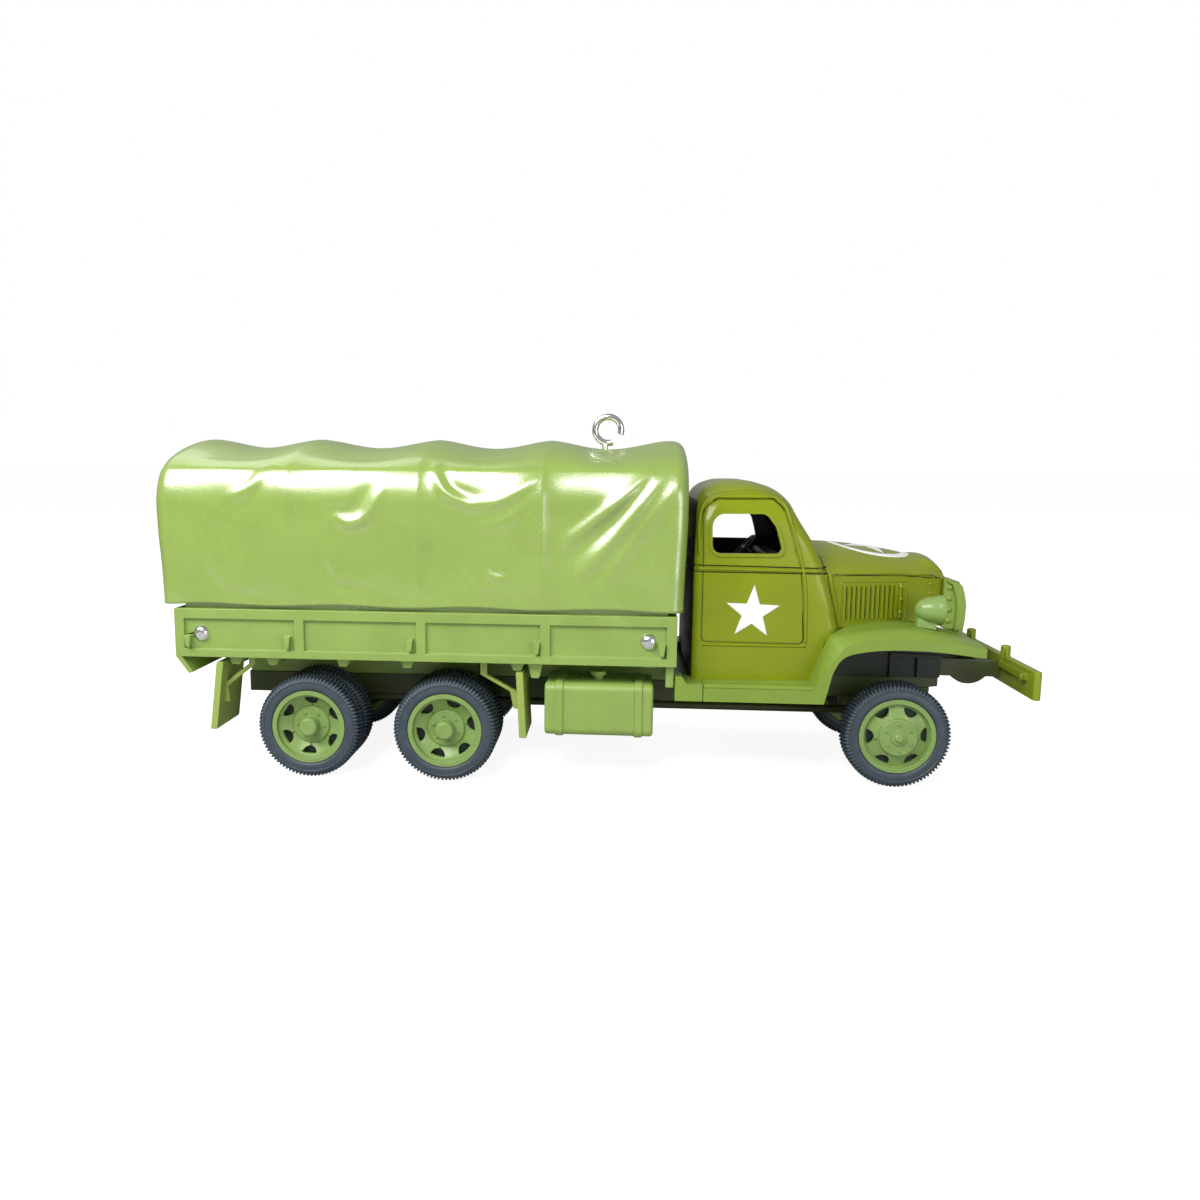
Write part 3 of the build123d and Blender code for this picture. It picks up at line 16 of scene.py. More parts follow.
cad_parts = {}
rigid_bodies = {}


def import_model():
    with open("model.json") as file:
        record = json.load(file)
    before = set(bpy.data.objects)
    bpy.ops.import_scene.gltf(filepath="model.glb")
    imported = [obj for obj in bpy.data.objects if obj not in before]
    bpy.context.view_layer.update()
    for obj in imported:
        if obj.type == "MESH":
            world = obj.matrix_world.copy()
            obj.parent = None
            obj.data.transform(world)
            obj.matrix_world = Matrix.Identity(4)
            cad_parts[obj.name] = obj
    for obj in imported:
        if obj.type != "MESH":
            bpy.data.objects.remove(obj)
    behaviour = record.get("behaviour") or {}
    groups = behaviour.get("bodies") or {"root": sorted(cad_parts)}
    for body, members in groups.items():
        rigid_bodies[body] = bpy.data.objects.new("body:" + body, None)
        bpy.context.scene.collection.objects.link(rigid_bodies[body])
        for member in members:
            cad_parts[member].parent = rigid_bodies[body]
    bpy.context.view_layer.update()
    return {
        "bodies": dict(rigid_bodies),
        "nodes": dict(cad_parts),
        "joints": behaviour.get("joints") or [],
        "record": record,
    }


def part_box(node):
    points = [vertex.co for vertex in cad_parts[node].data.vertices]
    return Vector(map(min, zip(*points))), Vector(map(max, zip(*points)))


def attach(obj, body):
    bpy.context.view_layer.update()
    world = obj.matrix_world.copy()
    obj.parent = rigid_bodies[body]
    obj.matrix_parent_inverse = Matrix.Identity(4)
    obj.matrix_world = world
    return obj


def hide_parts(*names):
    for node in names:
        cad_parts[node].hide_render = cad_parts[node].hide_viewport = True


LOG = logging.getLogger("truck")
MM = 0.001
Colour = tuple[float, float, float]
Point = tuple[float, float, float]
Shell = tuple[np.ndarray, np.ndarray]
WHITE = (1, 1, 1, 1)


class Side(Enum):
    """The two sides of the truck, by the sign of Y."""

    RIGHT = -1
    LEFT = 1

    @property
    def label(self) -> str:
        """The side's word in node names."""
        return self.name.lower()


# ---------------------------------------------------------------- mesh helpers


def grid_faces(rows: int, columns: int, wrap_rows: bool, wrap_columns: bool) -> np.ndarray:
    """Quads of a rows by columns grid of points, numbered row by row.

    Args:
        rows: number of rows of points.
        columns: number of points in a row.
        wrap_rows: whether the last row joins the first.
        wrap_columns: whether each row closes on itself.

    Returns:
        An array of four vertex numbers a face.
    """
    r = np.arange(rows if wrap_rows else rows - 1)[:, None]
    c = np.arange(columns if wrap_columns else columns - 1)[None, :]
    nr = (r + 1) % rows
    nc = (c + 1) % columns
    quads = np.stack(np.broadcast_arrays(r * columns + c, r * columns + nc,
                                         nr * columns + nc, nr * columns + c), axis=-1)
    return quads.reshape(-1, 4)


def add_mesh(name: str, points: np.ndarray, faces: np.ndarray | list[list[int]],
             smooth_angle: float | None = 35.0) -> bpy.types.Object:
    """Makes a mesh object whose place is in its vertices, with its faces turned outwards.

    Args:
        name: the piece's name.
        points: vertex positions, in metres.
        faces: vertex numbers of each face.
        smooth_angle: edges below this angle in degrees are shaded smooth; None leaves all flat.

    Returns:
        The new object, linked to the scene.
    """
    mesh = bpy.data.meshes.new(name)
    mesh.from_pydata(np.asarray(points, float).reshape(-1, 3).tolist(), [],
                     np.asarray(faces).tolist() if isinstance(faces, np.ndarray) else faces)
    work = bmesh.new()
    work.from_mesh(mesh)
    bmesh.ops.remove_doubles(work, verts=work.verts, dist=1e-7)
    bmesh.ops.recalc_face_normals(work, faces=work.faces)
    work.to_mesh(mesh)
    work.free()
    piece = bpy.data.objects.new(name, mesh)
    bpy.context.scene.collection.objects.link(piece)
    shade(piece, smooth_angle)
    return piece


def shade(piece: bpy.types.Object, smooth_angle: float | None) -> None:
    """Shades a piece smooth, except across edges sharper than the angle in degrees."""
    mesh = piece.data
    mesh.shade_flat() if smooth_angle is None else mesh.shade_smooth()
    if smooth_angle is not None:
        mesh.set_sharp_from_angle(angle=math.radians(smooth_angle))


def read(items: bpy.types.bpy_prop_collection, name: str, width: int = 3,
         kind: type = np.float32) -> np.ndarray:
    """An attribute of every item of a mesh, as rows of `width` numbers."""
    values = np.empty(len(items) * width, kind)
    items.foreach_get(name, values)
    return values.reshape(-1, width)


def soften(piece: bpy.types.Object, width: float, angle: float = 38.0, segments: int = 3,
           clamp: bool = True) -> None:
    """Rounds the edges of a piece that are sharper than the angle in degrees."""
    bevel = piece.modifiers.new("soft_edges", "BEVEL")
    bevel.width = width
    bevel.segments = segments
    bevel.limit_method = "ANGLE"
    bevel.angle_limit = math.radians(angle)
    bevel.use_clamp_overlap = clamp
    bevel.harden_normals = True


def thicken(piece: bpy.types.Object, thickness: float) -> None:
    """Gives a sheet a thickness, inwards from its face."""
    wall = piece.modifiers.new("wall", "SOLIDIFY")
    wall.thickness = thickness
    wall.offset = -1.0


def close_ends(loops: np.ndarray) -> Shell:
    """Joins loops of points into a tube and closes each end with a fan to its middle."""
    first, last = (np.broadcast_to(end.mean(1, keepdims=True), end.shape)
                   for end in (loops[:1], loops[-1:]))
    closed = np.concatenate([first, loops, last])
    return closed, grid_faces(closed.shape[0], closed.shape[1], False, True)


def join_shells(shells: list[Shell]) -> Shell:
    """Puts several point and quad arrays into one pair of arrays."""
    starts = np.cumsum([0] + [len(points.reshape(-1, 3)) for points, _ in shells[:-1]])
    points = np.concatenate([points.reshape(-1, 3) for points, _ in shells])
    faces = np.concatenate([quads + start for (_, quads), start in zip(shells, starts)])
    return points, faces


SAME_POINT = 2e-7
LARGEST_LIFT = 0.35
SAME_SURFACE = 0.97


@dataclass
class FineSkin:
    """Triangles with a normal at each corner, split until curved edges follow their surface.

    Attributes:
        corners: positions, faces by three by three.
        normals: the surface's normals at the same corners.
    """

    corners: np.ndarray
    normals: np.ndarray

    @classmethod
    def from_mesh(cls, mesh: bpy.types.Mesh) -> FineSkin:
        """Reads a triangulated mesh with its stored corner normals."""
        mesh.calc_loop_triangles()
        loops = read(mesh.loop_triangles, "loops", kind=np.int32)
        owner = read(mesh.loops, "vertex_index", 1, np.int32)[:, 0]
        places = read(mesh.vertices, "co")
        normals = read(mesh.corner_normals, "vector")
        return cls(places[owner[loops]].astype(float), normals[loops].astype(float))

    def refine(self, rise: float, longest: float = math.inf) -> None:
        """Splits each edge whose surface rises over it, or that is too long, at its middle.

        The middle moves out by minus an eighth of (w01 n0 + w10 n1), where w01 is the edge
        along the normal n0 at its start, and w10 the turned edge along n1. An edge between
        two surfaces moves to where both agree. A lift over LARGEST_LIFT of the edge's length
        is dropped.

        Args:
            rise: smallest rise that is worth a split.
            longest: longest edge that stays whole.
        """
        _, points = np.unique(np.round(self.corners.reshape(-1, 3) / SAME_POINT).astype(np.int64),
                              axis=0, return_inverse=True)
        points = points.reshape(-1, 3)
        start, end = self.corners, np.roll(self.corners, -1, axis=1)
        first, last = self.normals, np.roll(self.normals, -1, axis=1)
        way = end - start
        lift = -((way * first).sum(-1, keepdims=True) * first
                 - (way * last).sum(-1, keepdims=True) * last) / 8
        facing = first + last
        facing /= np.linalg.norm(facing, axis=-1, keepdims=True) + 1e-12
        pair = np.sort(np.stack([points, np.roll(points, -1, axis=1)], axis=-1), axis=-1)
        _, edge = np.unique(pair.reshape(-1, 2), axis=0, return_inverse=True)
        edge = edge.reshape(-1)
        moved = self._agree(edge, lift.reshape(-1, 3), facing.reshape(-1, 3))
        size = np.linalg.norm(moved, axis=1)
        whole = np.linalg.norm(way.reshape(-1, 3), axis=1)
        split = ((size > rise) | (whole > longest)).reshape(-1, 3)
        moved = np.where((size < LARGEST_LIFT * whole)[:, None], moved, 0.0).reshape(-1, 3, 3)
        middle = (start + end) / 2 + moved
        self._divide(split, middle, facing)

    @staticmethod
    def _agree(edge: np.ndarray, lift: np.ndarray, facing: np.ndarray) -> np.ndarray:
        """The move of each edge's middle on which the surfaces on both sides agree."""
        order = np.argsort(edge, kind="stable")
        ranked = edge[order]
        begin = np.flatnonzero(np.r_[True, ranked[1:] != ranked[:-1]])
        total = np.diff(np.r_[begin, len(ranked)])
        one, two = order[begin], order[begin + (total > 1)]
        a, b = facing[one], facing[two]
        rise_a = (lift[one] * a).sum(-1, keepdims=True)
        rise_b = (lift[two] * b).sum(-1, keepdims=True)
        share = (a * b).sum(-1, keepdims=True)
        plain = (rise_a * a + rise_b * b) / 2
        apart = np.maximum(1 - share ** 2, 1e-3)
        solved = ((rise_a - share * rise_b) * a + (rise_b - share * rise_a) * b) / apart
        move = np.where(share > SAME_SURFACE, plain, solved)
        return move[np.repeat(np.arange(begin.size), total)[np.argsort(order, kind="stable")]]

    def _divide(self, split: np.ndarray, middle: np.ndarray, facing: np.ndarray) -> None:
        """Cuts every triangle by how many of its edges are split: into two, three or four."""
        kept_c, kept_n = [self.corners[~split.any(1)]], [self.normals[~split.any(1)]]
        patterns = {1: ((0, 3, 2), (3, 1, 2)), 2: ((3, 1, 4), (0, 3, 4), (0, 4, 2)),
                    3: ((0, 3, 5), (3, 1, 4), (5, 4, 2), (3, 4, 5))}
        for count, parts in patterns.items():
            chosen = np.flatnonzero(split.sum(1) == count)
            marks = split[chosen]
            turn = np.zeros(len(chosen), int)
            if count == 1:
                turn = marks.argmax(1)
            elif count == 2:
                turn = ((~marks).argmax(1) + 1) % 3
            index = (turn[:, None] + np.arange(3)) % 3
            rows = chosen[:, None]
            c = np.concatenate([self.corners[rows, index], middle[rows, index]], axis=1)
            n = np.concatenate([self.normals[rows, index], facing[rows, index]], axis=1)
            kept_c += [c[:, list(part)] for part in parts]
            kept_n += [n[:, list(part)] for part in parts]
        self.corners, self.normals = np.concatenate(kept_c), np.concatenate(kept_n)

    def write(self, mesh: bpy.types.Mesh, flat_angle: float) -> None:
        """Puts the triangles into a mesh, welded, with coplanar ones joined.

        Args:
            mesh: the mesh that takes them.
            flat_angle: faces closer to one plane than this angle in degrees are joined.
        """
        mesh.clear_geometry()
        flat = self.corners.reshape(-1, 3)
        mesh.from_pydata(flat.tolist(), [], np.arange(len(flat)).reshape(-1, 3).tolist())
        work = bmesh.new()
        work.from_mesh(mesh)
        bmesh.ops.remove_doubles(work, verts=work.verts, dist=1e-6)
        bmesh.ops.dissolve_degenerate(work, dist=SAME_POINT, edges=work.edges)
        bmesh.ops.dissolve_limit(work, angle_limit=math.radians(flat_angle), verts=work.verts,
                                 edges=work.edges)
        work.to_mesh(mesh)
        work.free()


def smooth_step(low: float, high: float, value: np.ndarray) -> np.ndarray:
    """Rises smoothly from 0 at `low` to 1 at `high`: 3t squared minus 2t cubed."""
    t = np.clip((value - low) / (high - low), 0.0, 1.0)
    return t * t * (3 - 2 * t)


def cubic_through(knots: np.ndarray, values: np.ndarray, at: np.ndarray,
                  level_end: bool = False) -> np.ndarray:
    """A cubic through the knots whose slope at each is the mean of its neighbours' slopes.

    Args:
        knots: rising parameter of each knot.
        values: value at each knot.
        at: parameters to evaluate.
        level_end: whether the last slope is zero.

    Returns:
        The curve's values.
    """
    chords = np.diff(values) / np.diff(knots)
    slopes = np.concatenate([chords[:1], (chords[1:] + chords[:-1]) / 2, chords[-1:]])
    if level_end:
        slopes[-1] = 0.0
    span = np.clip(np.searchsorted(knots, at, side="right") - 1, 0, len(knots) - 2)
    step = knots[span + 1] - knots[span]
    t = np.clip((at - knots[span]) / step, 0.0, 1.0)
    return ((2 * t ** 3 - 3 * t ** 2 + 1) * values[span]
            + (t ** 3 - 2 * t ** 2 + t) * step * slopes[span]
            + (3 * t ** 2 - 2 * t ** 3) * values[span + 1]
            + (t ** 3 - t ** 2) * step * slopes[span + 1])


def smooth_path(points: tuple, count: int) -> np.ndarray:
    """A smooth line through the points: each coordinate is a cubic of the chord length."""
    knots = np.array(points, float)
    length = np.r_[0, np.cumsum(np.linalg.norm(np.diff(knots, axis=0), axis=1))]
    at = np.linspace(0.0, length[-1], count)
    return np.stack([cubic_through(length, column, at) for column in knots.T], axis=1)


# ---------------------------------------------------------------- finishes


def add_node(tree: bpy.types.NodeTree, kind: str, values: dict | None = None,
             operation: str | None = None) -> bpy.types.Node:
    """Adds a shader node with values on its sockets, which go by name or number."""
    node = tree.nodes.new(f"ShaderNode{kind}")
    if operation is not None:
        node.operation = operation
    for socket, value in (values or {}).items():
        node.inputs[socket].default_value = value
    return node


def link(tree: bpy.types.NodeTree, *rows: tuple) -> None:
    """Links nodes; a row is a node, its output, the next node and that one's input."""
    for source, output, target, socket in rows:
        tree.links.new(source.outputs[output], target.inputs[socket])


@dataclass(frozen=True)
class Finish:
    """A solid toy finish: a base colour with faint mottling, sheen and fine grain.

    Attributes:
        name: the material's name.
        colour: linear base colour.
        roughness: middle value of the surface's roughness.
        roughness_spread: how far the roughness wanders either side.
        mottle: share by which the colour wanders.
        mottle_size: size of the colour's patches.
        grain_size: size of the grain in the surface.
        grain_depth: height of the grain.
        specular: strength of the plain reflection, 0.5 for most plastics.
        metallic: 1 for bare metal.
        coat: weight of a clear coat.
        warmth: colour that the patches lean to.
        refraction: index of refraction.
    """

    name: str
    colour: Colour
    roughness: float = 0.45
    roughness_spread: float = 0.06
    mottle: float = 0.07
    mottle_size: float = 9 * MM
    grain_size: float = 0.35 * MM
    grain_depth: float = 0.012 * MM
    specular: float = 0.5
    metallic: float = 0.0
    coat: float = 0.0
    warmth: Colour = (1.0, 1.0, 1.0)
    refraction: float = 1.5

    def material(self) -> bpy.types.Material:
        """Builds the node material, or returns it if it is there already."""
        found = bpy.data.materials.get(self.name)
        if found is not None:
            return found
        material = bpy.data.materials.new(self.name)
        material.use_nodes = True
        tree = material.node_tree
        shader = tree.nodes["Principled BSDF"]
        for socket, value in (("Metallic", self.metallic), ("IOR", self.refraction),
                              ("Specular IOR Level", self.specular),
                              ("Coat Weight", self.coat)):
            shader.inputs[socket].default_value = value
        place = add_node(tree, "TexCoord")
        patches = self._noise(tree, place, 1.0 / self.mottle_size, 3.0)
        self._colour(tree, patches, shader)
        self._roughness(tree, patches, shader)
        bump = add_node(tree, "Bump", {"Strength": 1.0, "Distance": self.grain_depth})
        link(tree, (*self._grain(tree, place), bump, "Height"),
             (bump, "Normal", shader, "Normal"))
        return material

    @staticmethod
    def _noise(tree: bpy.types.NodeTree, place: bpy.types.Node, scale: float,
               detail: float) -> bpy.types.Node:
        """A noise field on the piece's own coordinates."""
        noise = add_node(tree, "TexNoise", {"Scale": scale, "Detail": detail,
                                            "Roughness": 0.55})
        link(tree, (place, "Object", noise, "Vector"))
        return noise

    def _colour(self, tree: bpy.types.NodeTree, patches: bpy.types.Node,
                shader: bpy.types.Node) -> None:
        """Ramps the patches between a darker and a lighter form of the base colour."""
        ramp = add_node(tree, "ValToRGB")
        ramp.color_ramp.elements[0].position = 0.3
        ramp.color_ramp.elements[1].position = 0.7
        dark = [c * (1 - self.mottle) for c in self.colour]
        light = [c * (1 + self.mottle) * w for c, w in zip(self.colour, self.warmth)]
        ramp.color_ramp.elements[0].color = (*dark, 1)
        ramp.color_ramp.elements[1].color = (*light, 1)
        link(tree, (patches, "Fac", ramp, "Fac"), (ramp, "Color", shader, "Base Color"))

    def _roughness(self, tree: bpy.types.NodeTree, patches: bpy.types.Node,
                   shader: bpy.types.Node) -> None:
        """Lets the roughness wander with the patches."""
        spread = add_node(tree, "MapRange", {"To Min": self.roughness - self.roughness_spread,
                                             "To Max": self.roughness + self.roughness_spread})
        link(tree, (patches, "Fac", spread, "Value"),
             (spread, "Result", shader, "Roughness"))

    def _grain(self, tree: bpy.types.NodeTree,
               place: bpy.types.Node) -> tuple[bpy.types.Node, str]:
        """The height field of the surface's grain, as a node and its output."""
        return self._noise(tree, place, 1.0 / self.grain_size, 2.0), "Fac"


@dataclass(frozen=True)
class PebbledFinish(Finish):
    """A moulded canvas look: pebbled cells with fine noise over them."""

    def _grain(self, tree: bpy.types.NodeTree,
               place: bpy.types.Node) -> tuple[bpy.types.Node, str]:
        """Cell distance of a Voronoi field, roughened by noise."""
        cells = add_node(tree, "TexVoronoi")
        cells.feature = "SMOOTH_F1"
        cells.inputs["Scale"].default_value = 1.0 / self.grain_size
        fine = self._noise(tree, place, 2.3 / self.grain_size, 2.0)
        blend = add_node(tree, "Math", {1: 0.6}, "MULTIPLY_ADD")
        link(tree, (place, "Object", cells, "Vector"), (fine, "Fac", blend, 0),
             (cells, "Distance", blend, 2))
        return blend, "Value"


COVER_CANVAS = PebbledFinish("cover_canvas", (0.270, 0.400, 0.055), 0.27, 0.04, 0.05, 14 * MM,
                             0.42 * MM, 0.026 * MM, specular=1.0, coat=0.3, refraction=1.75)
BODY_PLASTIC = Finish("body_plastic", (0.265, 0.385, 0.085), 0.38, grain_depth=0.01 * MM)
WING_PLASTIC = Finish("wing_plastic", (0.205, 0.305, 0.040), 0.34, grain_depth=0.01 * MM)
LAMP_PLASTIC = Finish("lamp_plastic", (0.230, 0.350, 0.095), 0.24, grain_depth=0.008 * MM)
FLAP_PLASTIC = Finish("flap_plastic", (0.310, 0.410, 0.085), 0.45)
CAB_PAINT = Finish("cab_paint", (0.230, 0.280, 0.006), 0.24, 0.05, 0.06, 12 * MM, 0.30 * MM,
                   0.010 * MM, specular=0.35, coat=0.12)
SEAM_SHADE = Finish("seam_shade", (0.045, 0.055, 0.004), 0.5, specular=0.3)
CHASSIS_PAINT = Finish("chassis_paint", (0.060, 0.080, 0.018), 0.42, grain_depth=0.014 * MM)
# Painted shade: a near-black green for the wing aprons and the rings behind the wheels' hand
# holes, where the arches and holes lie in shadow.
ARCH_SHADE = Finish("arch_painted_shade", (0.016, 0.026, 0.016), 0.42, specular=0.4)
BUMPER_PAINT = Finish("bumper_paint", (0.230, 0.290, 0.012), 0.30, specular=0.4, coat=0.15)
WHEEL_PLASTIC = Finish("wheel_plastic", (0.215, 0.330, 0.090), 0.32, mottle_size=4 * MM)
# Black of the cab's interior moulding and steering wheel; on the cab's back wall the same black is
# painted shade.
CAB_BLACK = Finish("interior_black_and_back_shade", (0.006, 0.007, 0.006), 0.35, mottle_size=5 * MM)
TYRE_RUBBER = Finish("tyre_rubber", (0.038, 0.054, 0.072), 0.50, 0.08, 0.15, 3 * MM, 0.18 * MM,
                     0.02 * MM, specular=0.6)
BRIGHT_STEEL = Finish("bright_steel", (0.80, 0.80, 0.79), 0.14, 0.05, 0.04, 2 * MM, 0.25 * MM,
                      0.006 * MM, metallic=1.0)
STAR_PAINT = Finish("star_paint", (0.90, 0.90, 0.89), 0.45, 0.04, 0.02, 4 * MM, 0.2 * MM,
                    0.006 * MM)


def dress(piece: bpy.types.Object, finish: Finish, body: str, slot: str,
          *nodes: str) -> bpy.types.Object:
    """Gives a piece its finish and the body it rides on, and hides the nodes it stands for.

    Args:
        piece: the finished piece.
        finish: its finish.
        body: the frame body that carries it.
        slot: the record's material slot; not used.
        nodes: frame nodes that it replaces, if any.

    Returns:
        The same piece.
    """
    piece.data.materials.clear()
    piece.data.materials.append(finish.material())
    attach(piece, body)
    if nodes:
        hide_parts(*nodes)
    LOG.info("piece %s on %s, %d vertices", piece.name, body, len(piece.data.vertices))
    return piece


# ---------------------------------------------------------------- pieces kept from the frame


@dataclass
class MouldedPiece:
    """A rigid node of the frame with its edges softened as a mould leaves them.

    Attributes:
        node: the frame node.
        finish: the piece's finish.
        slot: the record's material slot.
        body: the frame body.
        edge: width of the rounding on its edges, 0 for none.
        smooth_angle: edges below this angle in degrees are shaded smooth.
        rounds: how often the triangles are refined.
        rise: how far a triangle's edge may stay from its curved surface.
        flat_angle: faces closer to one plane than this angle in degrees are joined.
    """

    node: str
    finish: Finish
    slot: str
    body: str = "truck"
    edge: float = 0.18 * MM
    smooth_angle: float = 32.0
    rounds: int = 2
    rise: float = 0.004 * MM
    flat_angle: float = 0.25

    def skin(self, frame: dict) -> FineSkin:
        """The node's triangles, refined to the rise that its edges may keep."""
        skin = FineSkin.from_mesh(frame["nodes"][self.node].data)
        for _ in range(self.rounds):
            skin.refine(self.rise)
        return skin

    def build(self, frame: dict) -> bpy.types.Object:
        """Copies the node's refined triangles, softens their edges and dresses the piece."""
        mesh = bpy.data.meshes.new(f"moulded_{self.node}")
        self.skin(frame).write(mesh, self.flat_angle)
        piece = bpy.data.objects.new(mesh.name, mesh)
        bpy.context.scene.collection.objects.link(piece)
        shade(piece, self.smooth_angle)
        if self.edge > 0:
            soften(piece, self.edge, self.smooth_angle, segments=2, clamp=False)
        return dress(piece, self.finish, self.body, self.slot, self.node)


@dataclass
class SmoothCab(MouldedPiece):
    """The cab and bonnet, whose straight bands between slices are drawn out to smooth curves.

    Attributes:
        axle: X of the front axle, from which the stations are counted, in millimetres.
        levels: for each level slice of the cab: height, rear, front, half width at the rear
            and at the front, in millimetres.
        stations: for each upright slice of the bonnet: place ahead of the axle, half width
            and crown height, in millimetres.
        longest: longest edge after each round of refining, in millimetres.
        lining_and_back_shade: finish of the faces inside the cab, and of the cab's back wall as
            painted shade.
        nose_lift: how much higher the nose's front edge stands, in millimetres.
    """

    axle: float = 77.85
    levels: tuple[tuple[float, ...], ...] = (
        (26.7, -51.5, -14.9, 27.7, 26.0), (40.0, -51.5, -15.0, 28.0, 26.0),
        (53.2, -51.5, -18.6, 27.9, 25.9), (58.8, -51.4, -20.6, 27.5, 25.0),
        (66.8, -51.1, -25.4, 26.4, 24.3), (70.9, -50.4, -27.6, 25.0, 23.0),
        (73.7, -48.8, -30.6, 22.4, 20.4), (75.2, -46.2, -34.4, 18.4, 16.8),
        (75.9, -43.0, -38.0, 13.5, 12.5))
    stations: tuple[tuple[float, ...], ...] = (
        (-21.5, 25.8, 59.9), (-8.0, 20.6, 59.0), (5.0, 15.6, 56.9), (12.0, 12.6, 54.2),
        (14.1, 11.4, 51.6))
    longest: tuple[float, ...] = (3.2, 1.9, 1.3)
    lining_and_back_shade: Finish | None = None
    nose_lift: float = 1.9

    def skin(self, frame: dict) -> FineSkin:
        """Refines the node, also by length, and bends its straight bands."""
        skin = FineSkin.from_mesh(frame["nodes"][self.node].data)
        for longest in self.longest:
            skin.refine(self.rise, longest * MM)
        skin.corners = self._bend_bonnet(self._bend_cab(skin.corners))
        return skin

    def _bend_cab(self, points: np.ndarray) -> np.ndarray:
        """Carries each point from the straight form to the smooth one at the same slice share.

        The slice share runs from one level to the next; along it rear, front, half width and
        height are straight lines in the first form and cubics in the second.
        """
        table = np.array(self.levels)
        table[:, 1:3] += self.axle
        x, y, z = (points[..., axis] / MM for axis in range(3))
        reach = np.cumsum(np.r_[0, np.hypot(np.diff(table[:, 0]), np.diff(table[:, 2]))])
        share = np.interp(z, table[:, 0], reach)
        straight = [np.interp(share, reach, table[:, column]) for column in range(5)]
        smooth = [cubic_through(reach, table[:, column], share, column == 0)
                  for column in range(5)]
        along = (x - straight[1]) / (straight[2] - straight[1])
        inside = np.clip(along, 0.0, 1.0)
        width_straight = straight[3] + (straight[4] - straight[3]) * inside
        width_smooth = smooth[3] + (smooth[4] - smooth[3]) * inside
        new_x = smooth[1] + along * (smooth[2] - smooth[1])
        new_y = y * width_smooth / width_straight
        new_z = smooth[0] + (z - straight[0])
        keep = (smooth_step(0.0, 1.0, (z - 41.0) / 4.0)
                * (1 - smooth_step(0.0, 1.0, x - straight[2] - 0.3)))[..., None]
        moved = np.stack([new_x, new_y, new_z], axis=-1) * MM
        return points + (moved - points) * keep

    def _bend_bonnet(self, points: np.ndarray) -> np.ndarray:
        """Raises and widens the bonnet between its slices by how far a cubic leaves the line."""
        table = np.array(self.stations)
        x = points[..., 0] / MM - self.axle
        wide_s, crown_s = (np.interp(x, table[:, 0], table[:, c]) for c in (1, 2))
        wide, crown = (cubic_through(table[:, 0], table[:, c], x) for c in (1, 2))
        ahead = smooth_step(-17.5, -14.0, x) * (1 - smooth_step(14.6, 15.0, x))
        up = smooth_step(46.0, 52.0, points[..., 2] / MM)
        y = points[..., 1] * (1 + ahead * (wide / wide_s - 1))
        fuller = (self.nose_lift * smooth_step(5.0, 13.5, x)
                  * (1 - smooth_step(8.0, 12.5, np.abs(points[..., 1]) / MM)))
        z = points[..., 2] + ahead * up * (crown - crown_s + fuller) * MM
        return np.stack([points[..., 0], y, z], axis=-1)

    def build(self, frame: dict) -> bpy.types.Object:
        """Builds the piece, then gives the faces inside it the black interior finish, and its back
        wall the same black as painted shade.

        A face counts as inside by where it is and which way it faces, in millimetres.
        """
        piece = super().build(frame)
        mesh = piece.data
        x, y, z = (read(mesh.polygons, "center") / MM).T
        nx, ny, nz = read(mesh.polygons, "normal").T
        table = np.array(self.levels)
        rear = np.interp(z, table[:, 0], table[:, 1]) + self.axle
        front = np.interp(z, table[:, 0], table[:, 2]) + self.axle
        half = np.interp(z, table[:, 0], table[:, 3])
        inward = ((ny * y < -0.3 * np.abs(y)) & (np.abs(y) > 9)) | (
            (nx > 0.4) & (x < rear + 3)) | ((nx < -0.4) & (x > front - 4)) | (nz < -0.5)
        deep = (x > rear + 0.8) & (x < front + 1.5) & (np.abs(y) < half - 0.55) & (z > 27)
        # The back wall takes the black as painted shade: it stands in the cover's shadow across a
        # narrow gap.
        back = (nx < -0.85) & (x < rear + 1.2) & (z > 27) & (z < 71)
        kind = np.where((inward & deep) | back, 1, 0).astype(np.int32)
        mesh.materials.append(self.lining_and_back_shade.material())
        mesh.polygons.foreach_set("material_index", kind)
        return piece


# ---------------------------------------------------------------- tyres


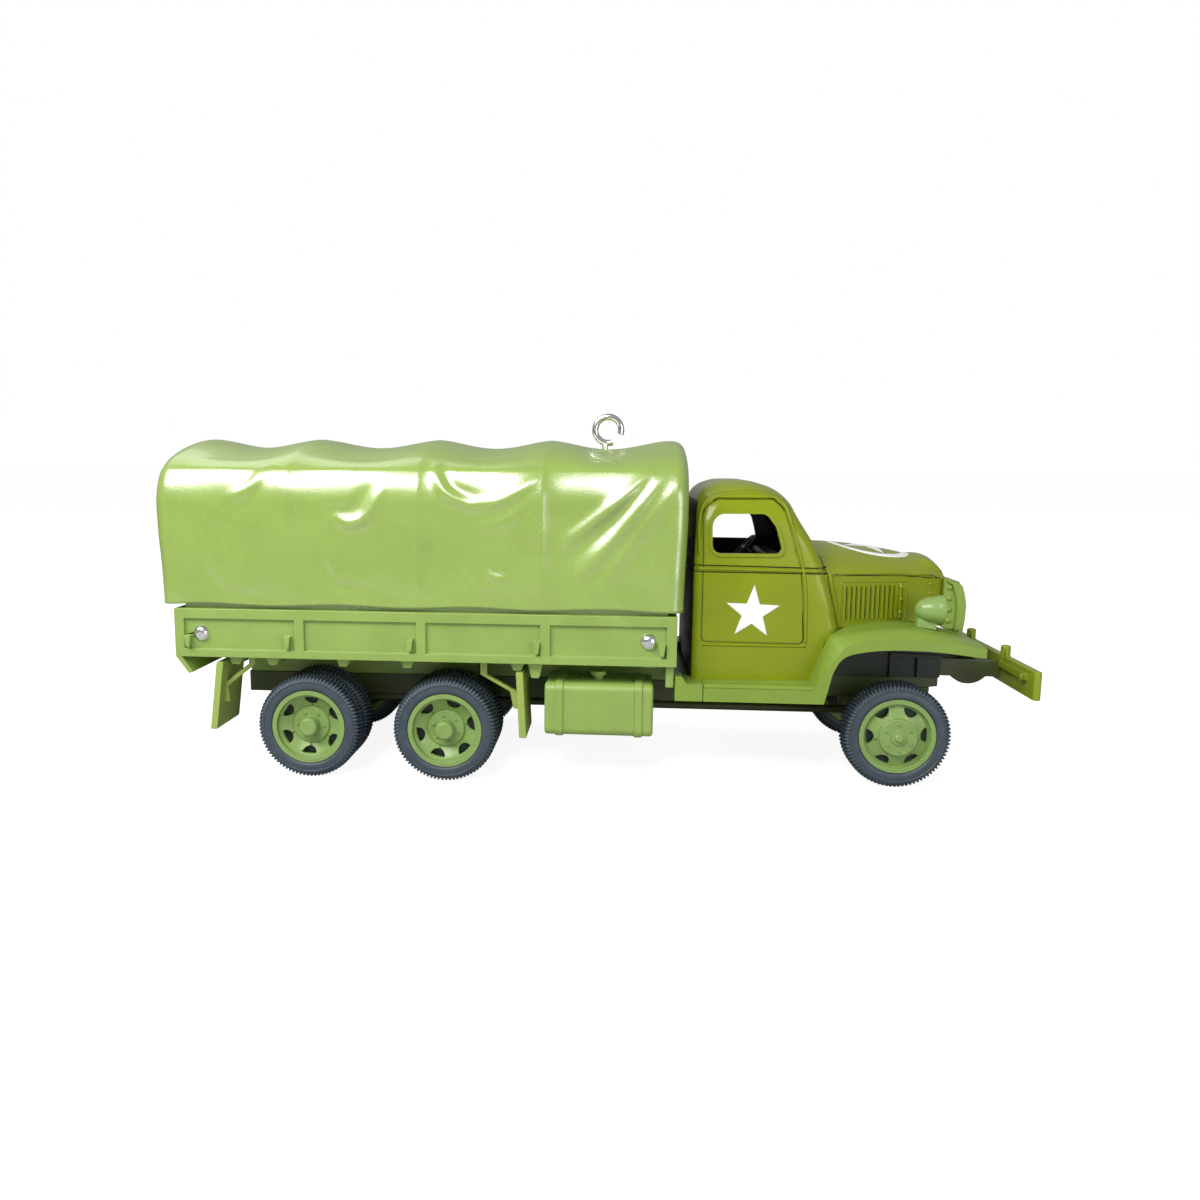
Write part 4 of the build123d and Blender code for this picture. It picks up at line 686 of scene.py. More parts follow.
@dataclass
class Tyre:
    """A rubber tyre with staggered lugs, worked out as one turned surface a ring.

    Attributes:
        node: the frame node that it stands for.
        body: the frame body that turns with it.
        rings: one tyre, or two side by side.
        gap: space between two rings.
        lugs: lugs round the tread.
        lug_depth: depth of the grooves between lugs.
        shoulder: width of the tread's rounded shoulder.
        bead_radius: radius of the tyre's inner edge.
        steps_per_lug: points round the tyre for each lug.
        tuck: how much closer two rings stand than their widths and the gap.
        flat_end: how much further in than the shoulder the flat tread ends.
    """

    node: str
    body: str
    rings: int
    gap: float = 1.6 * MM
    lugs: int = 84
    lug_depth: float = 0.55 * MM
    shoulder: float = 1.2 * MM
    bead_radius: float = 8.7 * MM
    steps_per_lug: int = 6
    tuck: float = 0.6 * MM
    flat_end: float = 0.3 * MM

    def build(self) -> None:
        """Builds each ring in its place and joins them in one piece."""
        low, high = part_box(self.node)
        centre = (np.array(low) + np.array(high)) / 2
        radius = (high.z - low.z) / 2
        full = high.y - low.y
        width = (full - (self.rings - 1) * (self.gap - self.tuck)) / self.rings
        pitch = width + self.gap - self.tuck
        first = centre[1] - (self.rings - 1) * pitch / 2
        shells = [self._ring(centre, first + ring * pitch, radius, width)
                  for ring in range(self.rings)]
        points, faces = join_shells(shells)
        piece = add_mesh(f"rubber_{self.node}", points, faces, 40.0)
        dress(piece, TYRE_RUBBER, self.body, "tyre_black", self.node)

    def _profile(self, radius: float, width: float) -> np.ndarray:
        """Half of the tyre's section as radius and distance from its middle plane.

        The tread is a flat line, the shoulder a quarter round, the wall a bulge with one
        raised line, and the bead a short lip.
        """
        half = width / 2
        crown = np.linspace(0.0, half - self.shoulder - self.flat_end, 9)
        tread = np.stack([np.full_like(crown, radius), crown], axis=1)
        turn = np.linspace(0.15, 1.0, 6) * math.pi / 2
        edge = np.stack([radius - self.shoulder * (1 - np.cos(turn)),
                         half - self.shoulder - self.flat_end + self.shoulder * np.sin(turn)],
                        axis=1)
        # Below the tread and in from the side, in millimetres.
        wall = [(radius - below * MM, half - inset * MM) for below, inset in (
            (1.35, 0.20), (1.45, 0.06), (1.75, 0.06), (1.85, 0.16), (2.5, 0.03), (3.1, 0.02),
            (3.5, 0.14), (3.72, 0.42), (3.75, 0.95))]
        return np.concatenate([tread, edge, wall, [(self.bead_radius, half - 1.6 * MM)]])

    def _ring(self, centre: np.ndarray, middle: float, radius: float, width: float) -> Shell:
        """One tyre: the section turned about Y, with grooves pressed into tread and shoulder.

        A groove's depth follows a clipped cosine of the angle; the two halves of the tread
        stand half a lug apart, and a narrow channel runs round the middle.
        """
        half = self._profile(radius, width)
        section = np.concatenate([half[::-1] * (1, -1), half[1:]])
        turns = self.lugs * self.steps_per_lug
        angle = np.arange(turns) / turns * 2 * math.pi
        r = section[:, 0][:, None]
        y = section[:, 1][:, None]
        stagger = np.where(y < 0, math.pi, 0.0)
        slant = 2.0 * np.abs(y) / (width / 2)
        wave = np.cos(self.lugs * angle[None, :] + stagger + slant)
        groove = np.clip(0.5 + 1.7 * wave, 0.0, 1.0)
        reach = smooth_step(radius - 1.5 * MM, radius - 0.9 * MM, r)
        channel = 1.0 - smooth_step(0.12 * MM, 0.4 * MM, np.abs(y))
        depth = self.lug_depth * np.maximum(groove * reach, channel * reach)
        worn = r - depth
        points = np.stack([centre[0] + worn * np.sin(angle),
                           np.broadcast_to(middle + y, worn.shape),
                           centre[2] + worn * np.cos(angle)], axis=-1)
        inner = np.stack([centre[0] + self.bead_radius * np.sin(angle),
                          np.full(turns, middle), centre[2] + self.bead_radius * np.cos(angle)],
                         axis=-1)[None]
        points = np.concatenate([points, inner])
        return points, grid_faces(len(points), turns, True, True)


# ---------------------------------------------------------------- moulded canvas cover


FOLD_POINTS = 22
FOLD_HEIGHT = 0.85
FOLD_SPREAD = 1.05


@dataclass(frozen=True)
class Fold:
    """A crease in the cover's side, in millimetres.

    Attributes:
        path: its (x, z) points.
        height: how far it stands out, before FOLD_HEIGHT scales it.
        spread: its half width, before FOLD_SPREAD scales it.
    """

    path: tuple[tuple[float, float], ...]
    height: float
    spread: float

    def field(self, x: np.ndarray, z: np.ndarray) -> np.ndarray:
        """Height of the crease at each point: a bell across the path that fades at its ends."""
        points = smooth_path(self.path, FOLD_POINTS) * MM
        lengths = np.linalg.norm(np.diff(points, axis=0), axis=1)
        whole = lengths.sum()
        best = np.full_like(x, math.inf)
        along = np.zeros_like(x)
        start = 0.0
        for (ax, az), (bx, bz), length in zip(points[:-1], points[1:], lengths):
            t = np.clip(((x - ax) * (bx - ax) + (z - az) * (bz - az)) / length ** 2, 0, 1)
            away = np.hypot(x - ax - t * (bx - ax), z - az - t * (bz - az))
            nearer = away < best
            along = np.where(nearer, (start + t * length) / whole, along)
            best = np.minimum(best, away)
            start += length
        fade = np.sin(math.pi * np.clip(0.08 + 0.84 * along, 0, 1)) ** 0.7
        bell = np.exp(-(best / (FOLD_SPREAD * self.spread * MM)) ** 2)
        return FOLD_HEIGHT * self.height * MM * fade * bell


RIGHT_FOLDS = (
    Fold(((-79.3, 78.4), (-83.7, 73.4), (-88.0, 71.3)), 0.75, 1.5),
    Fold(((-93.0, 54.2), (-89.7, 50.1), (-82.9, 48.5)), 0.35, 1.3),
    Fold(((-96.0, 56.5), (-91.5, 48.6), (-82.0, 46.6)), -0.30, 2.2),
    Fold(((-50.2, 73.5), (-54.5, 66.3), (-58.7, 65.1), (-61.2, 66.3)), 0.85, 1.5),
    Fold(((-52.5, 74.5), (-58.0, 68.6), (-63.5, 68.4)), -0.55, 1.9),
    Fold(((-63.9, 56.3), (-60.6, 51.4), (-54.8, 50.6)), 0.38, 1.2),
    Fold(((-66.5, 61.0), (-63.2, 52.0), (-55.0, 48.6)), -0.30, 1.8),
    Fold(((-37.4, 78.2), (-34.5, 73.0), (-28.8, 69.8)), 0.85, 1.3),
    Fold(((-35.4, 78.2), (-32.4, 74.4), (-27.0, 72.0)), -0.5, 1.4),
    Fold(((-12.6, 75.6), (-21.5, 70.7), (-28.0, 69.9)), 0.8, 1.5),
    Fold(((-12.8, 72.0), (-19.5, 66.0), (-27.5, 64.0)), 0.3, 1.6),
    Fold(((-24.7, 53.6), (-22.0, 52.2), (-19.0, 52.0)), 0.5, 0.9),
    Fold(((-30.5, 59.0), (-25.5, 50.5), (-17.0, 49.5)), 0.25, 1.6),
    Fold(((15.4, 77.2), (6.0, 69.4), (-4.4, 61.2)), 0.95, 1.5),
    Fold(((17.8, 76.5), (7.7, 63.0), (-1.0, 53.1)), 0.85, 1.6),
    Fold(((17.0, 78.0), (7.0, 66.2), (-3.0, 57.2)), -0.6, 1.5),
    Fold(((21.8, 74.5), (11.7, 61.4), (4.5, 50.5)), 0.5, 1.6),
)
LEFT_FOLDS = (
    Fold(((-100.5, 77.0), (-94.0, 70.5), (-86.0, 66.0)), 0.7, 1.6),
    Fold(((-78.0, 78.0), (-84.5, 71.0), (-89.5, 69.5)), 0.7, 1.5),
    Fold(((-94.5, 57.0), (-90.0, 51.0), (-82.0, 49.6)), 0.35, 1.5),
    Fold(((-70.5, 77.0), (-64.0, 69.6), (-57.5, 68.0)), 0.8, 1.5),
    Fold(((-66.0, 58.0), (-60.0, 52.0), (-52.0, 51.2)), 0.35, 1.4),
    Fold(((-46.0, 77.5), (-51.5, 70.0), (-56.0, 66.5)), 0.6, 1.6),
    Fold(((-37.5, 77.5), (-30.0, 68.0), (-22.0, 63.5)), 0.8, 1.5),
    Fold(((-33.0, 56.0), (-26.0, 51.0), (-18.0, 51.5)), 0.4, 1.3),
    Fold(((-5.5, 77.0), (1.5, 68.0), (9.0, 61.0)), 0.8, 1.6),
    Fold(((17.0, 77.0), (10.0, 69.0), (3.0, 66.0)), 0.7, 1.5),
    Fold(((14.5, 60.0), (9.0, 53.0), (1.0, 50.5)), 0.4, 1.5),
)


@dataclass
class CanvasCover:
    """The moulded canvas cover: a closed shell over hoops, sagging between them.

    Attributes:
        hoops: X of each hoop's crest, in millimetres.
        sag: how far the crown drops midway between hoops.
        draws: how far the sides draw in just ahead of each hoop, in millimetres.
        crown: height of the crest at the hoops.
        side: half width where the side starts to round over.
        flare: how much wider the hem is.
        shoulder: height at which the side starts to round over.
        lower_middle: middle of the lower shoulder's arc, as half width and height.
        line: where the mould's line runs along the shoulder.
        upper_bulge: how far the upper shoulder's arc stands off its chord.
        shoulder_end: where the crown starts.
        corner: radius of the upright corners at the ends.
        wall: thickness of the moulding.
        hem: height of the hem.
        counts: points along the side, the lower and upper shoulder and the crown.
        columns: rows along X between the ends.
        wall_rows: rows across each end wall.
        corner_rows: rows round each upright corner.
        front_corner: radius of the front corners, as a share of the rear ones.
        plug_wall: thickness of the band under the hem.
    """

    hoops: tuple[float, ...] = (-105.4, -74.3, -41.2, -10.6, 20.4)
    sag: float = 2.25 * MM
    draws: tuple[float, ...] = (0.6, 1.1, 1.7, 1.7)
    crown: float = 86.0 * MM
    side: float = 34.05 * MM
    flare: float = 0.35 * MM
    shoulder: float = 69.5 * MM
    lower_middle: tuple[float, float] = (33.35 * MM, 74.16 * MM)
    line: tuple[float, float] = (31.3 * MM, 78.4 * MM)
    upper_bulge: tuple[float, float] = (0.14 * MM, 0.25 * MM)
    shoulder_end: tuple[float, float] = (25.5 * MM, 81.7 * MM)
    corner: float = 5.0 * MM
    wall: float = 1.2 * MM
    hem: float = 44.4 * MM
    counts: tuple[int, ...] = (54, 27, 16, 62)
    columns: int = 300
    wall_rows: int = 26
    corner_rows: int = 10
    front_corner: float = 0.6
    plug_wall: float = 1.1 * MM

    def build(self) -> None:
        """Builds the outer shell with its thickness and the plug under its hem."""
        low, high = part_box("canvas_cover")
        shell = add_mesh("canvas_shell", *self._shell(low.x, high.x, self.hem), 60.0)
        thicken(shell, self.wall)
        dress(shell, COVER_CANVAS, "truck", "cover_green", "canvas_cover")
        self._plug(*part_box("cargo_body"), self.hem)

    def _bay_share(self, x: np.ndarray) -> tuple[np.ndarray, np.ndarray]:
        """The bay that each X lies in, and how far along it, from 0 to 1."""
        crests = np.array(self.hoops) * MM
        bay = np.clip(np.searchsorted(crests, x) - 1, 0, len(crests) - 2)
        return bay, np.clip((x - crests[bay]) / (crests[bay + 1] - crests[bay]), 0.0, 1.0)

    def _section(self, x: np.ndarray, hem: float) -> tuple[np.ndarray, np.ndarray]:
        """Y and Z of the cross-section at each X, from the right hem to the left hem.

        The side is a straight line; the lower shoulder, the upper shoulder and the crown are
        arcs of circles through three points each, and the two shoulders meet in a soft crease.
        The crown sags by a sine over each bay. The side draws in by
        (1 - exp(-t / 0.15)) (1 - t)^1.3, which falls off sharply ahead of each hoop.
        """
        bay, t = self._bay_share(x)
        lost = (self.sag * np.sin(math.pi * t) ** 1.5)[:, None]
        depth = np.array(self.draws)[bay] * MM
        drawn = (depth * (1 - np.exp(-t / 0.15)) * (1 - t) ** 1.3)[:, None]
        side_count, low_count, high_count, crown_count = self.counts
        share = (np.linspace(0.0, 1.0, side_count) ** 0.92)[None, :]
        foot = self.side + self.flare
        hem_line = hem + 0.28 * MM * np.sin(x * 190.0 + 0.6)[:, None] * (1 - share) ** 3
        side_z = hem_line + (self.shoulder - hem_line) * share
        side_y = foot + (self.side - foot) * share - drawn * (0.15 + 0.85 * np.sin(
            math.pi / 2 * share))
        start = np.stack([side_y[:, -1], side_z[:, -1]], axis=1)
        line = np.stack([self.line[0] - 0.8 * drawn[:, 0], np.full_like(x, self.line[1])], axis=1)
        low_middle = np.stack([self.lower_middle[0] - 0.95 * drawn[:, 0],
                               np.full_like(x, self.lower_middle[1])], axis=1)
        end = np.stack([self.shoulder_end[0] - 0.4 * drawn[:, 0],
                        self.shoulder_end[1] - 0.55 * lost[:, 0]], axis=1)
        high_middle = (line + end) / 2 + np.array(self.upper_bulge)
        crown_mid = np.stack([np.zeros_like(x), self.crown - lost[:, 0]], axis=1)
        low_arc = self._arc(start, low_middle, line, low_count)
        high_arc = self._arc(line, high_middle, end, high_count)
        crown = self._arc(end, crown_mid, end * (-1, 1), crown_count)
        right = np.concatenate([np.stack([side_y, side_z], axis=-1), low_arc[:, 1:],
                                high_arc[:, 1:]], axis=1)
        left = right[:, ::-1] * (-1, 1)
        loop = np.concatenate([right, crown[:, 1:-1], left], axis=1)
        return -loop[:, :, 0], loop[:, :, 1]

    @staticmethod
    def _arc(a: np.ndarray, b: np.ndarray, c: np.ndarray, count: int) -> np.ndarray:
        """Points along the circle through a, b and c, from a to c, for each row."""
        def cross(u: np.ndarray, v: np.ndarray) -> np.ndarray:
            return u[:, 0] * v[:, 1] - u[:, 1] * v[:, 0]
        ab, ac = b - a, c - a
        turn = 2 * cross(ab, ac)
        ab2, ac2 = (ab ** 2).sum(1), (ac ** 2).sum(1)
        offset = np.stack([ac[:, 1] * ab2 - ab[:, 1] * ac2, ab[:, 0] * ac2 - ac[:, 0] * ab2],
                          axis=1) / turn[:, None]
        centre = a + offset
        radius = np.linalg.norm(offset, axis=1)
        first = np.arctan2(*(a - centre).T[::-1])
        last = np.arctan2(*(c - centre).T[::-1])
        sweep = (last - first + math.pi) % (2 * math.pi) - math.pi
        angle = first[:, None] + sweep[:, None] * np.linspace(0, 1, count)[None, :]
        return centre[:, None, :] + radius[:, None, None] * np.stack(
            [np.cos(angle), np.sin(angle)], axis=-1)

    def _shell(self, rear: float, front: float, hem: float) -> Shell:
        """The outer surface: the section carried along X and gathered into the end walls.

        Along each end the section shrinks towards the hem's middle: over the corner it
        follows a quarter round, and then it runs flat across the wall.
        """
        near = self.corner * self.front_corner
        body_x = np.linspace(rear + self.corner, front - near, self.columns)
        rear_away, rear_share = self._end_rows(self.corner)
        front_away, front_share = self._end_rows(near)
        x = np.concatenate([rear + rear_away, body_x, (front - front_away)[::-1]])
        share = np.concatenate([rear_share, np.ones_like(body_x), front_share[::-1]])
        y, z = self._section(x, hem)
        bulge = self._creases(np.broadcast_to(x[:, None], y.shape), y, z)
        ny, nz = self._normals(y, z)
        y = y + ny * bulge
        z = z + nz * bulge
        line = self._parting_line(y, z)
        y = y - ny * line
        z = z - nz * line
        y = y * share[:, None]
        z = hem + (z - hem) * (0.25 * share + 0.75 * share ** 0.6)[:, None]
        lean = np.where(x < (rear + front) / 2, 1.0, -0.6)[:, None]
        ends = 1 - smooth_step(0.0, 9 * MM, np.minimum(x - rear, front - x))[:, None]
        tilt = lean * ends * 1.1 * MM * (1 - smooth_step(hem, self.shoulder, z))
        across = np.broadcast_to(x[:, None], y.shape) + tilt
        points = np.stack([across, y, z], axis=-1)
        return points, grid_faces(points.shape[0], points.shape[1], False, False)

    def _end_rows(self, corner: float) -> tuple[np.ndarray, np.ndarray]:
        """Distance from the end and share of the section's size, from the wall's middle out."""
        wall = np.linspace(0.0, 0.94, self.wall_rows)
        turn = np.linspace(0.0, math.pi / 2, self.corner_rows)[1:-1]
        away = np.concatenate([np.zeros(self.wall_rows), corner * (1 - np.cos(turn))])
        share = np.concatenate([wall * (self.side - corner) / self.side,
                                (self.side - corner * (1 - np.sin(turn))) / self.side])
        return away, share

    @staticmethod
    def _normals(y: np.ndarray, z: np.ndarray) -> tuple[np.ndarray, np.ndarray]:
        """Outward directions of the section at each point, from its own tangents."""
        dy, dz = np.gradient(y, axis=1), np.gradient(z, axis=1)
        size = np.hypot(dy, dz) + 1e-12
        return -dz / size, dy / size

    @staticmethod
    def _creases(x: np.ndarray, y: np.ndarray, z: np.ndarray) -> np.ndarray:
        """Sum of the folds of the side that each point is on, faded over the crown."""
        upright = smooth_step(14 * MM, 26 * MM, np.abs(y))
        right = sum(fold.field(x, z) for fold in RIGHT_FOLDS)
        left = sum(fold.field(x, z) for fold in LEFT_FOLDS)
        soft = 0.10 * MM * np.sin(x * 300.0 + z * 210.0) * np.sin(x * 120.0 - z * 330.0 + 1.0)
        return upright * (np.where(y < 0, right, left) + soft)

    @staticmethod
    def _parting_line(y: np.ndarray, z: np.ndarray) -> np.ndarray:
        """Depth of the fine line that the mould leaves along each shoulder."""
        away = np.abs(z - 78.4 * MM)
        side = smooth_step(26 * MM, 29 * MM, np.abs(y))
        return 0.10 * MM * side * np.exp(-(away / (0.22 * MM)) ** 2)

    def _plug(self, body_low: Vector, body_high: Vector, hem: float) -> None:
        """The band under the hem that drops inside the body: a box section carried round."""
        inset = 2.15 * MM
        hook_reach = 0.9 * MM
        x0, x1 = body_low[0] + inset, body_high[0] - inset
        y1 = body_high[1] - hook_reach - inset
        corners = np.array([(x0, -y1), (x1, -y1), (x1, y1), (x0, y1)])
        inward = np.array([(1, 1), (-1, 1), (-1, -1), (1, -1)]) * self.plug_wall
        z0, z1 = body_high[2] - 3.4 * MM, hem + 1.5 * MM
        rings = [(corners, z0), (corners, z1), (corners + inward, z1), (corners + inward, z0)]
        points = np.array([[(*corner, z) for corner in ring] for ring, z in rings])
        piece = add_mesh("canvas_plug", points, grid_faces(4, 4, True, True), 30.0)
        dress(piece, COVER_CANVAS, "truck", "cover_green")


# ---------------------------------------------------------------- wings and boards


def cross_plate(outline: np.ndarray, y0: float, y1: float, side: Side) -> Shell:
    """A (x, z) outline carried across between two offsets, in millimetres."""
    x, z = outline.T
    return close_ends(np.stack([np.stack([x, np.full(len(x), side.value * y), z], axis=1)
                                for y in (y0, y1)]) * MM)


@dataclass
class Wings:
    """Front wings and running boards: curved skins over the wheels and stepped boards.

    Each line of a wing runs from its foot over the leg, the bend and the crown to its tip,
    given as seven (ahead of the axle, height) points in millimetres.

    Attributes:
        axle: X of the front axle in millimetres.
        rim: upper line at the outer rim.
        top: upper line where the rounding from the rim ends.
        low_rim: lower line at the rim.
        low_top: lower line further in.
        half: half width over the rims.
        crest: half width where the rounding ends.
        lip: thickness of the rim.
        inner: half width at the wing's inner edge.
        steps: points along each line.
    """

    axle: float = 77.85
    rim: tuple = ((-24.4, 22.45), (-22.3, 26.0), (-16.9, 34.4), (-14.4, 37.0), (-9.9, 38.2),
                  (4.0, 38.3), (17.9, 36.9))
    top: tuple = ((-23.6, 22.45), (-22.0, 26.7), (-18.9, 34.8), (-17.3, 38.1), (-13.6, 39.5),
                  (1.0, 40.7), (17.9, 37.4))
    low_rim: tuple = ((-19.6, 22.45), (-18.8, 25.5), (-17.4, 30.8), (-15.3, 33.9),
                      (-10.9, 35.4), (4.0, 36.0), (17.9, 34.6))
    low_top: tuple = ((-20.4, 22.45), (-19.6, 26.0), (-17.5, 34.2), (-16.1, 36.9),
                      (-12.6, 38.2), (1.0, 39.4), (17.9, 36.1))
    half: float = 34.0
    crest: float = 29.0
    lip: float = 1.2
    inner: float = 12.8
    steps: int = 90

    def build(self) -> None:
        """Builds both wings, both boards with the plate between them, and the aprons."""
        self._finish("wing_skins", [self._skin(side) for side in Side], 38.0, 0.30,
                     WING_PLASTIC)
        self._finish("running_boards", self._boards(), 25.0, 0.22, WING_PLASTIC)
        # The aprons are coloured with painted shade, because the arches behind the wheels lie in
        # shadow.
        self._finish("wing_aprons", self._aprons(), 25.0, 0.15, ARCH_SHADE)

    @staticmethod
    def _finish(name: str, shells: list[Shell], smooth_angle: float, edge: float,
                finish: Finish) -> None:
        """Makes a piece of the shells, rounds its edges by millimetres and dresses it."""
        piece = add_mesh(name, *join_shells(shells), smooth_angle=smooth_angle)
        soften(piece, edge * MM)
        dress(piece, finish, "truck", "wing_green", "wings_and_boards")

    def _line(self, points: tuple) -> np.ndarray:
        """A smooth line through its points, as x and z in metres."""
        return (smooth_path(points, self.steps) + (self.axle, 0.0)) * MM

    def _skin(self, side: Side) -> Shell:
        """One wing: its closed cross-section carried along the lines, with both ends closed.

        The upper face leaves the rim and swells to the crest along a quarter of a sine.
        """
        rim, top = self._line(self.rim), self._line(self.top)
        low_rim, low_top = self._line(self.low_rim), self._line(self.low_top)
        rows = [(low_top, self.inner), (low_top, 0.6 * self.crest + 0.4 * self.inner),
                (low_top, self.crest), (low_rim, self.half - self.lip), (low_rim, self.half),
                (rim, self.half)]
        for t in (0.12, 0.26, 0.42, 0.60, 0.80):
            swell = math.sin(t * math.pi / 2)
            rows.append((rim + (top - rim) * swell, self.half - (self.half - self.crest) * t))
        rows += [(top, self.crest), (top, 0.6 * self.crest + 0.4 * self.inner),
                 (top, self.inner)]
        loops = np.stack([np.stack([line[:, 0], np.full(self.steps, side.value * y * MM),
                                    line[:, 1]], axis=1) for line, y in rows], axis=1)
        return close_ends(loops)

    def _boards(self) -> list[Shell]:
        """The boards: a stepped (y, z) section carried along X, with a block at the rear."""
        rear, front = self.axle - 55.45, self.axle - 19.4
        low, high, near, out = 22.45, 26.72, 24.0, 34.0
        tread = np.array([(near, low), (out, low), (out, 25.25), (33.6, 25.45), (33.6, 25.75),
                          (33.75, 25.95), (33.65, 26.45), (33.35, 26.7), (31.9, high),
                          (31.7, 26.6), (29.6, 26.6), (29.4, high), (near, high)])
        inside = np.stack([np.minimum(tread[:, 0], 33.93), np.maximum(tread[:, 1], 22.5)],
                          axis=1)
        block = np.array([(rear, low), (rear + 6.7, low), (rear + 6.7, 26.75),
                          (rear + 2.7, 26.75), (rear + 1.6, 28.5), (rear, 28.5)])
        infill = np.array([(rear, low), (rear + 6.95, low), (rear + 6.95, high), (rear, high)])
        shells = []
        for side in Side:
            # The last stretch stands a hair inside the wing's foot.
            shells += [self._carry(tread, (rear + 6.9, front - 4.9), side),
                       self._carry(inside, (front - 4.95, front - 2.2), side),
                       cross_plate(block, 28.5, out, side),
                       cross_plate(infill, near, 28.6, side)]
        plate = np.array([(rear, 22.95), (self.axle - 20.9, 22.95), (self.axle - 20.9, 24.4),
                          (rear, 24.4)])
        shells.append(cross_plate(plate, -24.1, 24.1, Side.RIGHT))
        return shells

    @staticmethod
    def _carry(section: np.ndarray, ends: tuple[float, float], side: Side) -> Shell:
        """A (y, z) section carried along X between two ends, in millimetres."""
        y, z = section.T
        return close_ends(np.stack([np.stack([np.full(len(y), x), side.value * y, z], axis=1)
                                    for x in ends]) * MM)

    def _aprons(self) -> list[Shell]:
        """The plates between the wings and the chassis, with a ledge and two ribs, coloured with
        painted shade.
        """
        outline, *raised = (np.array(part) + (self.axle, 0) for part in (
            ((-17.0, 25.5), (13.5, 25.5), (13.5, 36.6), (1.0, 39.3), (-11.5, 38.2),
             (-17.0, 35.2)),
            ((0.5, 25.6), (1.3, 25.6), (1.3, 31.2), (0.5, 31.2)),
            ((0.5, 31.0), (13.4, 30.6), (13.4, 31.6), (0.5, 32.0)),
            ((7.4, 25.6), (8.0, 25.6), (8.0, 31.0), (7.4, 31.0))))
        shells = []
        for side in Side:
            shells.append(cross_plate(outline, 12.65, 14.0, side))
            shells += [cross_plate(part, 13.9, 14.9, side) for part in raised]
        return shells


# ---------------------------------------------------------------- small fittings

# How far from the middle plane a flat sheet waits before it is laid on the cab.
SHEET_START = 40 * MM


@dataclass
class WheelBack:
    """A flat ring of painted shade that closes a wheel behind its hand holes, where only shade
    would show.

    Attributes:
        wheel: the wheel's node.
        body: the frame body that turns with it.
        depth: how far behind the wheel's face the ring stands.
        rim: outer radius.
        hub: inner radius.
        thickness: thickness of the ring.
        steps: points round it.
    """

    wheel: str
    body: str
    depth: float = 4.2 * MM
    rim: float = 8.6 * MM
    hub: float = 2.5 * MM
    thickness: float = 0.5 * MM
    steps: int = 64

    def build(self) -> None:
        """Turns the ring's section about the axle."""
        low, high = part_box(self.wheel)
        side = 1.0 if low.y + high.y > 0 else -1.0
        face = max(abs(low.y), abs(high.y))
        centre_x, centre_z = (low.x + high.x) / 2, (low.z + high.z) / 2
        section = np.array([(self.hub, 0.0), (self.rim, 0.0), (self.rim, self.thickness),
                            (self.hub, self.thickness)])
        angle = np.arange(self.steps) / self.steps * 2 * math.pi
        r, inward = section[:, 0][:, None], section[:, 1][:, None]
        y = side * (face - self.depth - inward)
        points = np.stack([centre_x + r * np.cos(angle), np.broadcast_to(y, (4, self.steps)),
                           centre_z + r * np.sin(angle)], axis=-1)
        piece = add_mesh(f"back_of_{self.wheel}", points, grid_faces(4, self.steps, True, True))
        # The ring's near-black colour is painted shade.
        dress(piece, ARCH_SHADE, self.body, "wheel_green")


@dataclass
class Strip:
    """A narrow band laid on the cab along a side-view path, raised by a profile.

    Attributes:
        name: the piece's name.
        paths: for each band, its (x, z) points in millimetres.
        width: width of a band in millimetres.
        heights: how far each line across the band stands off the cab, in millimetres.
        finish: the band's finish.
        closed: whether the path returns to its start.
        spacing: distance between rows of points in millimetres.
    """

    name: str
    paths: tuple
    width: float
    heights: tuple
    finish: Finish
    closed: bool = False
    spacing: float = 0.45

    def _ribbon(self, path: tuple) -> np.ndarray:
        """A band's rows of (x, z) points: the path resampled, and its sideways offsets."""
        knots = np.array(path + (path[:1] if self.closed else ()))
        length = np.r_[0, np.cumsum(np.hypot(*np.diff(knots, axis=0).T))]
        count = max(int(length[-1] / self.spacing), 4)
        at = np.linspace(0, length[-1], count, endpoint=not self.closed)
        x, z = (np.interp(at, length, knots[:, axis]) for axis in range(2))
        if self.closed:
            dx, dz = np.roll(x, -1) - np.roll(x, 1), np.roll(z, -1) - np.roll(z, 1)
        else:
            dx, dz = np.gradient(x), np.gradient(z)
        size = np.hypot(dx, dz)
        across = np.linspace(-0.5, 0.5, len(self.heights)) * self.width
        return np.stack([x[:, None] - (dz / size)[:, None] * across,
                         z[:, None] + (dx / size)[:, None] * across], axis=-1)

    def build(self, cab: bpy.types.Object) -> None:
        """Lays the bands on both sides of the cab.

        A point that misses the cab takes the place across of the nearest one that doesn't.
        """
        bands = [self._ribbon(path) for path in self.paths]
        rise = np.concatenate([np.tile(self.heights, len(flat)) for flat in bands]) * MM
        for side in Side:
            shells = [(beside(flat * MM, side), grid_faces(*flat.shape[:2], self.closed, False))
                      for flat in bands]
            piece = add_mesh(f"{self.name}_{side.label}", *join_shells(shells),
                             smooth_angle=60.0)
            laid = lay_on(piece, cab, "Y", side is Side.LEFT, 0.0)
            places = read(laid.vertices, "co")
            missed = np.abs(places[:, 1]) > SHEET_START - MM
            away = np.linalg.norm(places[missed][:, None, ::2] - places[None, ~missed, ::2],
                                  axis=-1)
            places[missed, 1] = places[~missed, 1][away.argmin(axis=1)]
            places[:, 1] += side.value * rise
            laid.vertices.foreach_set("co", places.ravel())
            thicken(piece, 0.12 * MM)
            dress(piece, self.finish, "truck", "cab_green")


def beside(flat: np.ndarray, side: Side) -> np.ndarray:
    """Stands rows of (x, z) points beside the truck, clear of it, ready to be laid on it."""
    return np.stack([flat[..., 0], np.full(flat.shape[:2], side.value * SHEET_START),
                     flat[..., 1]], axis=-1)


